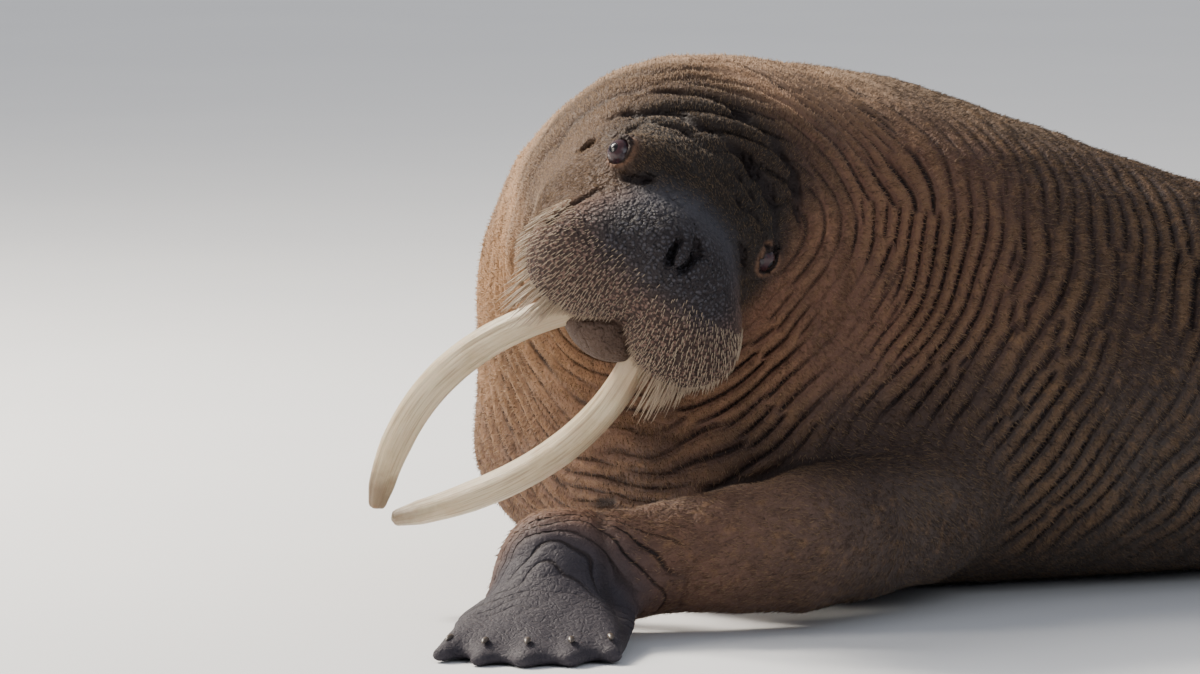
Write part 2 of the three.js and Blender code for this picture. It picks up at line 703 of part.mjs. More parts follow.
for (const whisker of [...whiskers(1), ...whiskers(-1)]) pieces.muzzle = pieces.muzzle.add(whisker);
for (const cut of [tuskSockets, nostrilPiece(1), nostrilPiece(-1), jawSocket])
  pieces.muzzle = largest(pieces.muzzle.subtract(cut));
pieces.head = pieces.head.add(lidRing(1)).add(lidRing(-1)).subtract(tuskSockets).subtract(eyeSockets);
pieces.head = largest(pieces.head);
for (const cut of [earPiece(1), earPiece(-1), jawSocket]) pieces.head = largest(pieces.head.subtract(cut));
pieces.jaw = largest(pieces.jaw.subtract(tuskSockets));
pieces.tusk_right = tuskPiece(1);
pieces.tusk_left = tuskPiece(-1);
pieces.eye_right = eyePiece(1);
pieces.eye_left = eyePiece(-1);

const walrus = new THREE.Group();
for (const [name, made] of Object.entries(pieces)) walrus.add(meshOf(name, made));
export default walrus;
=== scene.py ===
"""A walrus cow at rest: her skin with its folds, short coat, whiskers, tusks, eyes and nails.

Shapes are worked out in millimetres in the row's frame, and become metres as each mesh is made.
The flesh is one smooth field of ellipsoids, limbs and a lengthwise profile, skinned just inside the solids.
"""

import math

import bpy
import numpy as np
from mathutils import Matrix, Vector


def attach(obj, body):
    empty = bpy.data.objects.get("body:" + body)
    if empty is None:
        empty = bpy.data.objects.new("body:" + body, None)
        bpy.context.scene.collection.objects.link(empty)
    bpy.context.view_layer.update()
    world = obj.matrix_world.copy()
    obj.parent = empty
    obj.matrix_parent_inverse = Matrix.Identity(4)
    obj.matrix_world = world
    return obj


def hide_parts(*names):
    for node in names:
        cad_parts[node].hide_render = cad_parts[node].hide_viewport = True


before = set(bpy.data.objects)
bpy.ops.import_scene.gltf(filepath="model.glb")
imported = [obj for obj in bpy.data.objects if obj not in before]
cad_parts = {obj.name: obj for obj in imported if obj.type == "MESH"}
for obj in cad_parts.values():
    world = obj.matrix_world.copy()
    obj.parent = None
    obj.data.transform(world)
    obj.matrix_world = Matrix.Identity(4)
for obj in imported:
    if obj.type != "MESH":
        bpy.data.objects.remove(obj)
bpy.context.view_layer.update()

MM = 0.001
SEED = 4882

# The forms of the flesh
TRUNK_STATIONS = np.array([
    # x, height of the axis, half width, reach up, reach down
    [1240, 92, 92, 60, 70],
    [1130, 122, 172, 98, 118],
    [950, 152, 262, 138, 158],
    [720, 178, 342, 170, 188],
    [450, 194, 388, 203, 206],
    [180, 206, 404, 226, 218],
    [-20, 220, 400, 272, 232],
    [-180, 236, 390, 311, 246],
    [-340, 256, 370, 337, 264],
    [-480, 272, 335, 326, 280],
], float)
RUMP_REACH = 60
CHEST_REACH = 288
CHEST_LEAN = 0.1
FULLNESS = (2.1, 3.0)
HEAD_EYES = np.array([-728.0, -314.0, 472.0])
HEAD_TURN = dict(yaw=60.3, pitch=-14.6, roll=38.3)
NECK = [((-560, -60, 385), (215, 222, 212)), ((-640, -150, 440), (178, 178, 172))]
NECK_BLEND = 90
HEAD_BLEND = 40
HEAD_FORMS = dict(
    cranium=((0, -72, -42), (112, 112, 90)),
    face=((0, 28, -58), (98, 100, 76)),
    nose=((0, 84, -42), (56, 46, 40)),
)
HEAD_PAIRS = dict(
    orbit=((75, -13, 2), (34, 30, 27)),
    cheek=((74, -42, -98), (58, 84, 66)),
    pad=((66, 66, -103), (74, 62, 66)),
)
JAW = ((0, 36, -156), (57, 66, 42))
EYE = dict(at=(99, -2, 0), radius=16.5, looks=(0.86, 0.48, 0.12))
COAT_DEPTH = 3.0  # how far the skin lies inside the solids
SKIN_FLOOR = 0.8  # and its height over the floor
FLOOR_ROUND = 10
SOCKET_LAP = 0.6  # how far the skin laps onto the eyeball


def vec(v):
    return np.asarray(v, float)


def reach(v):
    return np.linalg.norm(v, axis=-1)


def unit(v):
    return vec(v) / np.linalg.norm(v, axis=-1, keepdims=True)


class Frame:
    """Side, forward and up at an origin, right-handed."""

    def __init__(self, origin, forward, up_hint):
        self.origin = vec(origin)
        self.forward = unit(forward)
        self.side = unit(np.cross(self.forward, up_hint))
        self.up = np.cross(self.side, self.forward)
        self.axes = np.stack([self.side, self.forward, self.up])

    def local(self, p):
        return (p - self.origin) @ self.axes.T

    def world(self, q):
        return self.origin + vec(q) @ self.axes


def head_frame():
    yaw, pitch, roll = (math.radians(HEAD_TURN[k]) for k in ("yaw", "pitch", "roll"))
    forward = (-math.cos(pitch) * math.cos(yaw), -math.cos(pitch) * math.sin(yaw), math.sin(pitch))
    level = Frame(HEAD_EYES, forward, (0, 0, 1))
    return Frame(HEAD_EYES, forward, level.up * math.cos(roll) - level.side * math.sin(roll))


HEAD = head_frame()


def ellipsoid(p, at, size):
    q = p - vec(at)
    size = vec(size)
    near = reach(q / size)
    slope = np.maximum(reach(q / size**2), 1e-9)
    return near * (near - 1) / slope


def blend(k, *fields):
    out = fields[0]
    for f in fields[1:]:
        h = np.maximum(k - np.abs(out - f), 0) / k
        out = np.minimum(out, f) - h * h * k / 4
    return out


def capsule(p, a, b, ra=0, rb=0):
    """Distance from a rod that goes from one radius to another."""
    a, b = vec(a), vec(b)
    ab = b - a
    t = np.clip((p - a) @ ab / (ab @ ab), 0, 1)
    return reach(p - a - t[:, None] * ab) - (ra + (rb - ra) * t)


def reading(x):
    """The trunk's profile at x, smooth from station to station."""
    s = TRUNK_STATIONS
    n = len(s)
    i = np.clip(np.searchsorted(-s[:, 0], -x, side="right") - 1, 0, n - 2)
    slopes = np.stack([
        (s[min(j + 1, n - 1), 1:] - s[max(j - 1, 0), 1:]) / (s[min(j + 1, n - 1), 0] - s[max(j - 1, 0), 0])
        for j in range(n)
    ])
    span = s[i + 1, 0] - s[i, 0]
    t = np.clip((x - s[i, 0]) / span, 0, 1)[:, None]
    m0, m1 = slopes[i] * span[:, None], slopes[i + 1] * span[:, None]
    t2, t3 = t * t, t * t * t
    v0, v1 = s[i, 1:], s[i + 1, 1:]
    return ((2 * t3 - 3 * t2 + 1) * v0 + (t3 - 2 * t2 + t) * m0 + (3 * t2 - 2 * t3) * v1 + (t3 - t2) * m1).T


def trunk_field(p):
    axis, wide, up, down = reading(p[:, 0])
    tall = np.where(p[:, 2] > axis, up, down)
    ahead = TRUNK_STATIONS[-1, 0] - p[:, 0]
    behind = p[:, 0] - TRUNK_STATIONS[0, 0]
    run = np.where(ahead > 0, CHEST_REACH + CHEST_LEAN * (p[:, 2] - axis), RUMP_REACH)
    c = np.maximum(np.maximum(ahead, behind), 0) / run
    under = np.clip((axis - p[:, 2]) / (0.6 * tall), 0, 1)
    e = FULLNESS[0] + (FULLNESS[1] - FULLNESS[0]) * under * under * (3 - 2 * under)
    a, b = np.abs(p[:, 1] / wide), np.abs((p[:, 2] - axis) / tall)
    near = np.maximum((a**e + b**e + c**e) ** (1 / e), 1e-6)
    slope = np.sqrt((a ** (e - 1) / wide) ** 2 + (b ** (e - 1) / tall) ** 2 + (c ** (e - 1) / run) ** 2)
    return (near - 1) / np.maximum(slope * near ** (1 - e), 1e-6)


def head_field(p):
    h = HEAD.local(p)
    m = h.copy()
    m[:, 0] = np.abs(m[:, 0])
    single = [ellipsoid(h, *f) for f in HEAD_FORMS.values()]
    pairs = [ellipsoid(m, *f) for f in HEAD_PAIRS.values()]
    return blend(HEAD_BLEND, *single, *pairs)


# Flippers: the palm's size and slope, and the digits' angles, lengths, distances at the root and thickness
FORE_FAN = dict(
    size=(100, 140, 30), slope=0.14, spread=8, lengths=(112, 140, 152, 148, 128), root=30, thick=(22, 13),
)
HIND_FAN = dict(
    size=(116, 192, 24), slope=0.05, spread=12, lengths=(226, 206, 198, 206, 226), root=30, thick=(22, 13),
)


def hind_flipper(side):
    """Her left one for -1, her right one for 1."""
    return dict(
        limb=((1080, side * 80, 100), (1215, side * 105, 62), (1290, side * 125, 42)), radii=(95, 58, 38),
        palm=(1400, side * 165, 20), points=(1, side * 0.36, 0), fan=HIND_FAN,
    )


FLIPPERS = dict(
    fore_left=dict(
        limb=((-420, -300, 112), (-641, -392, 96), (-905, -322, 78)), radii=(88, 79, 52),
        palm=(-962, -396, 24), points=(-0.62, -0.78, 0), fan=FORE_FAN,
    ),
    fore_right=dict(
        limb=((-330, 280, 128), (-225, 405, 112), (-222, 545, 78)), radii=(92, 82, 54),
        palm=(-232, 640, 24), points=(-0.05, 1, 0), fan=FORE_FAN,
    ),
    hind_left=hind_flipper(-1),
    hind_right=hind_flipper(1),
)
JOINT_BLEND = 60
WEB_BLEND = 34
LIMB_BLEND = 38  # where a limb leaves the body
LIMB_RANGE = 700  # past this distance from its middle a limb changes nothing


def on_palm(limb, ahead):
    """The place this far ahead of the middle of the palm."""
    return vec(limb["palm"]) + vec(limb["points"]) * ahead


def digit(fan, number):
    """Where a digit starts and the way it points, in the palm's frame."""
    off = number - (len(fan["lengths"]) - 1) / 2
    turn = math.radians(fan["spread"] * off)
    return np.array([off * fan["root"], 0, 0]), np.array([math.sin(turn), math.cos(turn), 0])


def palm_frame(limb):
    return Frame(limb["palm"], limb["points"], (0, 0, 1))


def limb_field(limb, p):
    fan = limb["fan"]
    q = palm_frame(limb).local(p)
    q[:, 2] += fan["slope"] * q[:, 1]
    palm = ellipsoid(q, (0, 0, 0), fan["size"])
    digits = []
    for number, length in enumerate(fan["lengths"]):
        root, way = digit(fan, number)
        digits.append(capsule(q, root, root + length * way, *fan["thick"]))
    (a, b, c), (ra, rb, rc) = limb["limb"], limb["radii"]
    arm = np.minimum(capsule(p, a, b, ra, rb), capsule(p, b, c, rb, rc))
    wrist = capsule(p, c, limb["palm"], rc, fan["size"][2])
    return blend(JOINT_BLEND, arm, blend(JOINT_BLEND, wrist, blend(WEB_BLEND, palm, *digits)))


# Face
FACE_MIDDLE = (0, 10, -70)
FACE_RANGE = 260  # past this distance from its middle nothing is added to the head
LID_BLEND = 7
LIP_BLEND = 5
LID = dict(ahead=7.5, ring=17.4, thick=3.4, brow=4.2, flat=0.97)  # a ring of flesh round each eye
NOSTRIL = dict(at=(11.5, 124, -22), size=(2.0, 16, 11.5), turn=18, bend=0.014)
EAR = dict(at=(108, -78, -40), size=(16, 5, 9))


def mirrored(side, v):
    return np.array([side * v[0], v[1], v[2]], float)


def eye_frame(side):
    looks = HEAD.world(mirrored(side, EYE["looks"])) - HEAD.origin
    return Frame(HEAD.world(mirrored(side, EYE["at"])), looks, HEAD.up)


def lid_ring(p, side):
    q = eye_frame(side).local(p)
    away = np.hypot(q[:, 0], q[:, 2] / LID["flat"]) - LID["ring"]
    above = np.clip(q[:, 2] / LID["ring"], 0, 1)
    return np.hypot(away, q[:, 1] - LID["ahead"] + 2 * above) - LID["thick"] - LID["brow"] * above


def face_openings(h):
    """The slits of the nostrils and the small folds of the ears, in the head's frame."""
    found = np.full(len(h), 1e9)
    for side in (1, -1):
        turn = math.radians(side * NOSTRIL["turn"])
        q = h - mirrored(side, NOSTRIL["at"])
        x = q[:, 0] * math.cos(turn) - q[:, 2] * math.sin(turn)
        z = q[:, 0] * math.sin(turn) + q[:, 2] * math.cos(turn)
        x = x + side * NOSTRIL["bend"] * (z + 4) ** 2
        slit = ellipsoid(np.stack([x, q[:, 1], z], 1), (0, 0, 0), NOSTRIL["size"])
        found = np.minimum(found, np.minimum(slit, ellipsoid(h, mirrored(side, EAR["at"]), EAR["size"])))
    return found


def lip_line(p):
    """Negative where the lower jaw's form stands out of the rest of the head, positive elsewhere."""
    return ellipsoid(HEAD.local(p), *JAW) - head_field(p)


def with_face(body, p):
    """The body's field with the jaw, lids, nostrils and ears added."""
    near = reach(HEAD.local(p) - FACE_MIDDLE) < FACE_RANGE
    q = p[near]
    made = blend(LIP_BLEND, body[near], ellipsoid(HEAD.local(q), *JAW))
    for side in (1, -1):
        made = blend(LID_BLEND, made, lid_ring(q, side))
    body[near] = -blend(LIP_BLEND, -made, face_openings(HEAD.local(q)))
    return body


def flesh(p):
    """The whole animal's flesh, floor apart: negative inside, millimetres."""
    trunk = blend(NECK_BLEND, trunk_field(p), *[ellipsoid(p, *n) for n in NECK])
    body = with_face(blend(HEAD_BLEND, trunk, head_field(p)), p)
    for limb in FLIPPERS.values():
        middle = np.mean([*limb["limb"], limb["palm"]], axis=0)
        near = reach(p - middle) < LIMB_RANGE
        body[near] = blend(LIMB_BLEND, body[near], limb_field(limb, p[near]))
    return body


def skin_field(p):
    """The flesh less the coat's depth, with rounded flats just over the floor and sockets for the eyes."""
    f = flesh(p) + COAT_DEPTH
    f = -blend(FLOOR_ROUND, -f, p[:, 2] - SKIN_FLOOR)
    for side in (1, -1):
        at = HEAD.world(mirrored(side, EYE["at"]))
        f = np.maximum(f, EYE["radius"] - SOCKET_LAP - reach(p - at))
    return f


# Surface: cubes near the skin, each with one point, joined in quads
BOX_LOW = np.array([-1230.0, -560.0, -40.0])
BOX_SIZE = np.array([2900.0, 1440.0, 720.0])
CELL = 5.0
CORNERS = np.array([(i, j, k) for i in (0, 1) for j in (0, 1) for k in (0, 1)])


def near_cells():
    """Indices of the cells that the surface may cross, found from large cells down to small."""
    size = CELL * 8
    counts = np.ceil(BOX_SIZE / size).astype(int)
    cells = np.stack(np.meshgrid(*[np.arange(c) for c in counts], indexing="ij"), -1).reshape(-1, 3)
    while True:
        centres = BOX_LOW + (cells + 0.5) * size
        cells = cells[np.abs(skin_field(centres)) < size * 1.25 + (4 if size > CELL else 0)]
        if size <= CELL:
            return cells
        cells = (cells[:, None, :] * 2 + CORNERS[None]).reshape(-1, 3)
        size /= 2


def keys(c):
    c = c.astype(np.int64) + 4
    return (c[:, 0] << 40) | (c[:, 1] << 20) | c[:, 2]


def crossing_points(cells, v):
    """The middle of the places where each cell's edges cross the skin."""
    total, weight = np.zeros((len(cells), 3)), np.zeros(len(cells))
    for i in range(8):
        for j in (i | bit for bit in (1, 2, 4) if not i & bit):
            crosses = (v[:, i] < 0) != (v[:, j] < 0)
            t = np.where(crosses, v[:, i] / np.where(crosses, v[:, i] - v[:, j], 1), 0)[:, None]
            total += np.where(crosses[:, None], CORNERS[i] + t * (CORNERS[j] - CORNERS[i]), 0)
            weight += crosses
    return BOX_LOW + (cells + total / weight[:, None]) * CELL


def join_cells(cells, v):
    """Quads round every cell edge that crosses the skin."""
    cell_keys = keys(cells)
    order = np.argsort(cell_keys)
    sorted_keys = cell_keys[order]

    def find(c):
        i = np.minimum(np.searchsorted(sorted_keys, keys(c)), len(sorted_keys) - 1)
        return np.where(sorted_keys[i] == keys(c), order[i], -1)

    quads = []
    for axis in range(3):
        u, w = np.eye(3, dtype=int)[[(axis + 1) % 3, (axis + 2) % 3]]
        edge = (v[:, 0] < 0) != (v[:, 4 >> axis] < 0)
        c = cells[edge]
        ring = np.stack([find(c), find(c - u), find(c - u - w), find(c - w)], 1)
        inside = v[edge, 0] < 0
        ring[inside] = ring[inside][:, ::-1]
        quads.append(ring[(ring >= 0).all(1)])
    return np.concatenate(quads)[:, ::-1]


def surface():
    """Points and quads of the skin, before its folds."""
    cells = near_cells()
    corners = [cells + c for c in CORNERS]
    corner_keys, first = np.unique(np.concatenate([keys(c) for c in corners]), return_index=True)
    values = skin_field(BOX_LOW + np.concatenate(corners)[first] * CELL)
    v = np.stack([values[np.searchsorted(corner_keys, keys(c))] for c in corners], 1)
    crossed = (v.min(1) < 0) & (v.max(1) >= 0)
    cells, v = cells[crossed], v[crossed]
    return crossing_points(cells, v), join_cells(cells, v)


def settle(points, times=2):
    """Moves points onto the skin's field along its slope."""
    for _ in range(times):
        value = skin_field(points)
        slope = np.stack([skin_field(points + e) - skin_field(points - e) for e in np.eye(3)], 1) / 2
        points = points - slope * (value / np.maximum((slope**2).sum(1), 0.2))[:, None]
    return points


def refine(points, quads, chosen):
    """Splits the chosen quads in four, and gives their neighbours the new edge points."""
    ends = np.sort(np.stack([quads, np.roll(quads, -1, axis=1)], -1), axis=2).astype(np.int64)
    edges = ends[..., 0] * len(points) + ends[..., 1]
    split = np.unique(edges[chosen])
    middles = points[np.stack([split // len(points), split % len(points)], 1)].mean(1)
    centres = points[quads[chosen]].mean(1)
    where = np.minimum(np.searchsorted(split, edges), len(split) - 1)
    has = split[where] == edges
    mid = np.where(has, len(points) + where, -1)
    q, m = quads[chosen], mid[chosen]
    c = len(points) + len(middles) + np.arange(len(q))
    small = np.concatenate([np.stack([q[:, i], m[:, i], c, m[:, i - 1]], 1) for i in range(4)])
    beside = ~chosen & has.any(1)
    loops = [
        [int(n) for pair in zip(face, extra) for n in pair if n >= 0]
        for face, extra in zip(quads[beside], mid[beside])
    ]
    plain = quads[~chosen & ~has.any(1)]
    return np.concatenate([points, middles, centres]), np.concatenate([plain, small]), loops


def mesh_object(name, points, quads, loops=()):
    """A smooth mesh from millimetre points, an array of equal faces, and lists of odd ones."""
    mesh = bpy.data.meshes.new(name)
    sides = quads.shape[1]
    sizes = np.concatenate([np.full(len(quads), sides), [len(f) for f in loops]]).astype(np.int32)
    corners = np.concatenate([quads.ravel(), *[np.array(f) for f in loops]]).astype(np.int32)
    mesh.vertices.add(len(points))
    mesh.vertices.foreach_set("co", (points * MM).astype(np.float32).ravel())
    mesh.loops.add(len(corners))
    mesh.loops.foreach_set("vertex_index", corners)
    mesh.polygons.add(len(sizes))
    mesh.polygons.foreach_set("loop_start", np.concatenate([[0], np.cumsum(sizes)[:-1]]).astype(np.int32))
    mesh.polygons.foreach_set("loop_total", sizes)
    mesh.polygons.foreach_set("use_smooth", np.ones(len(sizes), bool))
    mesh.update(calc_edges=True)
    mesh.validate()
    obj = bpy.data.objects.new(name, mesh)
    bpy.context.scene.collection.objects.link(obj)
    return obj


def tube_quads(rows, around, inside_out=False):
    """Quads that join rows of points, each row a ring."""
    i, j = np.meshgrid(np.arange(rows - 1), np.arange(around), indexing="ij")
    k = (j + 1) % around
    quads = np.stack([i * around + j, i * around + k, (i + 1) * around + k, (i + 1) * around + j], -1)
    return quads.reshape(-1, 4)[:, [0, 3, 2, 1] if inside_out else [0, 1, 2, 3]]


def turns_of(around):
    return np.arange(around) * 2 * math.pi / around


def keep(obj, name, values):
    """Keeps one number for each point of a mesh, for its material to read."""
    layer = obj.data.attributes.new(name, "FLOAT", "POINT")
    layer.data.foreach_set("value", values.astype(np.float32))


def normals_of(obj):
    out = np.empty(len(obj.data.vertices) * 3, np.float32)
    obj.data.vertex_normals.foreach_get("vector", out)
    return out.reshape(-1, 3).astype(float)


# Folds: rings that spread from the muzzle over the neck and chest, and slant down the flank
FOLD_CENTRE = HEAD.world((0, -20, -70))
FOLD_LENGTH = 27.0
FOLD_DEPTH = 11.0
GROOVE = 0.7  # under 1 the grooves are narrower than the ridges
# The folds lie in arcs round the face and spread these ways: direction, where it starts, how close they stand
FOLD_WAYS = dict(
    body=((0.877, 0.0, -0.478), 85, 1.42),
    face=((-0.877, 0.0, 0.478), -60, 0.9),
    throat=((0.269, -0.04, -0.962), 0, 1.0),
    crown=((0.40, 0.0, 0.92), 0, 0.95),
    near_side=((-0.16, -0.98, -0.11), 0, 0.8),
    far_side=((0.16, 0.98, 0.11), 0, 0.95),
)
FOLD_ROUND = 2.4  # 2 makes the arcs round, more makes them squarer
FOLD_SPREAD = 480.0  # past this distance the folds stand further apart
FAR_SHARE = 0.55
WRIST_FOLD = dict(fore=17.0, hind=14.0)  # length of one fold
WRIST_DEPTH = 4.5


def step(low, high, x):
    t = np.clip((x - low) / (high - low), 0, 1)
    return t * t * (3 - 2 * t)


def waves(p, length, seed, count=7):
    """Smooth wandering numbers of about -1 to 1 with features of about a given length."""
    rng = np.random.default_rng(seed)
    turns = unit(rng.normal(size=(count, 3))) * (2 * math.pi / length) * rng.uniform(0.6, 1.4, (count, 1))
    return np.sin(p @ turns.T + rng.uniform(0, 2 * math.pi, count)).sum(1) / math.sqrt(count)


def fold_phase(p):
    """Distance from the face counted in folds."""
    q = p - FOLD_CENTRE
    total = np.zeros(len(p))
    for way, start, closeness in FOLD_WAYS.values():
        total += (np.maximum(q @ unit(way) - start, 0) * closeness) ** FOLD_ROUND
    distance = total ** (1 / FOLD_ROUND)
    near = FOLD_SPREAD * np.tanh(distance / FOLD_SPREAD)
    return (FAR_SHARE * distance + (1 - FAR_SHARE) * near) / FOLD_LENGTH


def fold_waves(p):
    """Two families of folds, and which of them shows where, so that ridges fork and end."""
    base = fold_phase(p)
    first = base + 0.42 * waves(p, 300, 1) + 0.17 * waves(p, 115, 2)
    second = base * 1.34 + 0.55 * waves(p, 270, 7) + 0.18 * waves(p, 105, 8)
    turn = step(-0.35, 0.35, waves(p, 170, 9) + 0.35 * waves(p, 60, 10))
    return first, second, turn


def fold_amount(p):
    """How deep the folds are, from 0 to 1."""
    x, z = p[:, 0], p[:, 2]
    h = HEAD.local(p)
    face = reach((h - (0, 30, -70)) / (1, 1.1, 1))
    amount = step(125, 185, face)
    amount *= 1 - 0.7 * step(0, 1050, x)  # less towards the tail
    amount *= 0.25 + 0.75 * step(20, 90, z)  # less near the floor
    amount *= 0.82 + 0.26 * waves(p, 230, 3) + 0.16 * waves(p, 75, 13)
    amount *= 1 - 0.45 * step(420, 560, z) * step(-500, -300, x)  # less along the back
    amount *= 1 - 0.2 * step(-420, -150, x)
    amount *= 1 - 0.65 * step(20, 120, h[:, 0]) * step(340, 430, z)  # less on the right of the neck
    for limb in FLIPPERS.values():
        near = reach(p - np.mean(limb["limb"], axis=0)) < LIMB_RANGE
        amount[near] *= 0.12 + 0.88 * step(0, 60, limb_field(limb, p[near]) + 8)
    return np.clip(amount, 0, 1)


def wrist_folds(p):
    """Phase and amount of the folds across each wrist and hand."""
    phase, amount = np.zeros(len(p)), np.zeros(len(p))
    for name, limb in FLIPPERS.items():
        wrist, palm = vec(limb["limb"][2]), vec(limb["palm"])
        ahead = unit(palm - wrist)
        s = (p - wrist) @ ahead
        r = reach(p - wrist - s[:, None] * ahead)
        here = step(-120, -60, s) * (1 - step(90, 220, s)) * (1 - step(120, 170, r))
        here *= (1 - 0.5 * step(30, 110, s)) * (0.65 + 0.35 * waves(p, 110, 12))
        counted = (s + 14 * waves(p, 170, 4) + 6 * waves(p, 60, 5)) / WRIST_FOLD[name.split("_")[0]]
        phase = np.where(here > amount, counted, phase)
        amount = np.maximum(here, amount)
    return phase, amount


def crease(phase):
    """0 at the bottom of a crease, 1 on the ridge between two."""
    return np.abs(np.sin(math.pi * phase))


def groove(phase):
    """1 at the bottom of a crease, 0 on the ridge between two."""
    return 1 - crease(phase) ** GROOVE


# Single creases, as points in the head's frame (side, forward, up), with a width and a depth
HOOD = [
    ([(118, -118, -32), (109, -110, 8), (77, -99, 45), (39, -82, 65), (2, -66, 72), (-46, -49, 67)], 7, 9),
    ([(-30, -56, 70), (-62, -40, 62), (-89, -26, 47), (-107, -11, 28), (-118, 0, 0)], 8, 9),
    ([(104, -146, 24), (73, -136, 60), (33, -126, 84), (-8, -108, 93)], 6, 6),
    ([(10, -114, 92), (-45, -96, 95), (-82, -75, 84), (-110, -54, 63), (-130, -40, 20)], 7, 8),
    ([(106, -63, -2), (80, -72, 33), (49, -61, 50), (12, -46, 57), (-28, -32, 55), (-60, -16, 44)], 5, 5),
    ([(60, -34, 36), (32, -21, 40), (2, -17, 43), (-33, -9, 40), (-73, 3, 32), (-98, 10, 14)], 4.5, 5),
    ([(92, -96, 22), (58, -88, 50), (20, -72, 64)], 4, 4),
    ([(62, 30, 11), (36, 50, 12), (12, 73, 13), (-2, 90, 10)], 4, 4.5),
    ([(20, 62, 15), (0, 60, 22), (-30, 44, 24)], 4, 3),
    ([(-8, 106, 2), (-17, 113, -6)], 10, 8),
    ([(0, 134, -28), (1, 137, -46), (0, 133, -62)], 3, 2.5),
]
PAIRED = [  # the same on both sides
    ([(132, 80, -90), (123, 66, -62), (106, 28, -38), (94, 26, -18), (66, 30, 6)], 5.5, 7.5),
    ([(46, 52, 6), (80, 40, -6), (100, 50, -30)], 4, 2.5),
    ([(12, 124, -8), (26, 120, -2), (42, 108, -10), (54, 97, -13)], 3.5, 3.5),
    ([(58, 95, -13), (95, 68, -31), (124, 24, -60)], 5, 3.5),
    ([(122, -14, -10), (128, -20, -40), (126, -10, -66)], 5, 4),
    ([(112, -40, 6), (124, -44, -20), (130, -40, -50)], 5, 4),
]
# And one in the row's own frame: the fold between the chest and the top of the left forearm
ARM_CREASE = [
    (-735, -20, 100), (-728, -110, 116), (-712, -190, 128), (-670, -262, 144),
    (-606, -312, 166), (-552, -346, 180), (-499, -352, 186), (-440, -344, 189),
]
ARM_CREASE_WIDE, ARM_CREASE_DEEP = 8, 9
LIP_WIDE, LIP_DEEP = 3.5, 3.5
CREASE_RANGE = 560  # from the eyes


def distance_to_line(p, line):
    return np.min([capsule(p, a, b) for a, b in zip(line[:-1], line[1:])], axis=0)


def cut(distance, wide, deep):
    """Depth of a rounded groove at a distance from its line."""
    return deep * np.exp(-((distance / wide) ** 2))


def single_creases(p):
    """Depth of the single creases."""
    h = HEAD.local(p)
    near = reach(h) < CREASE_RANGE
    p, h = p[near], h[near]
    h = h + 3.0 * np.stack([waves(h, 40, seed) for seed in (21, 22, 23)], 1)
    mirror = np.stack([np.abs(h[:, 0]), h[:, 1], h[:, 2]], 1)
    found = np.zeros(len(h))
    uneven = 0.75 + 0.35 * waves(h, 70, 24)
    for q, lines in ((h, HOOD), (mirror, PAIRED)):
        for line, wide, deep in lines:
            found += uneven * cut(distance_to_line(q, line), wide, deep)
    wander = 8 * waves(h, 150, 25)[:, None]
    on_arm = cut(distance_to_line(p + wander, ARM_CREASE), ARM_CREASE_WIDE, ARM_CREASE_DEEP)
    found += on_arm * (1 - step(-610, -450, p[:, 0]))
    found += cut(lip_line(p), LIP_WIDE, LIP_DEEP) * (h[:, 1] > 0)
    depth = np.zeros(len(near))
    depth[near] = found
    return depth


HEAD_REACH = 215  # the skin is finer this near the face
SWELL = 1.6


def shape_folds(points):
    """How far each point moves out, and the numbers that the materials read."""
    first, second, turn = fold_waves(points)
    amount = fold_amount(points)
    wrist, wrist_amount = wrist_folds(points)
    single = single_creases(points)
    deep = FOLD_DEPTH * amount * (groove(first) * (1 - turn) + groove(second) * turn)
    deep += WRIST_DEPTH * wrist_amount * groove(wrist)
    swell = SWELL * waves(points, 90, 6) * step(130, 220, reach(HEAD.local(points)))
    height = crease(first) * (1 - turn) + crease(second) * turn
    # relief: above 0 on the fold ridges and below 0 in their hollows; the materials paint highlights and
    # shade from it
    relief = amount * (step(0.55, 0.95, height) - 1 + step(0.12, 0.5, height))
    kept = dict(
        first=first, second=second, turn=turn, folds=amount,
        wrist=wrist, wrist_folds=wrist_amount, single=single, relief=relief,
    )
    return (swell - deep - single) * step(0, 25, points[:, 2]), kept


def make_skin():
    """The skin, and what the coat has to know of it."""
    points, quads = surface()
    points = settle(points)
    face = reach(HEAD.local(points) - FACE_MIDDLE) < HEAD_REACH
    points, quads, loops = refine(points, quads, face[quads].all(1))
    skin = mesh_object("skin", points, quads, loops)
    move, kept = shape_folds(points)
    moved = points + normals_of(skin) * move[:, None]
    moved[:, 2] = np.maximum(moved[:, 2], SKIN_FLOOR)
    skin.data.vertices.foreach_set("co", (moved * MM).astype(np.float32).ravel())
    for name, values in kept.items():
        keep(skin, name, values)
    skin.data.update()
    return skin, (moved, quads, normals_of(skin), kept["single"], kept["relief"])


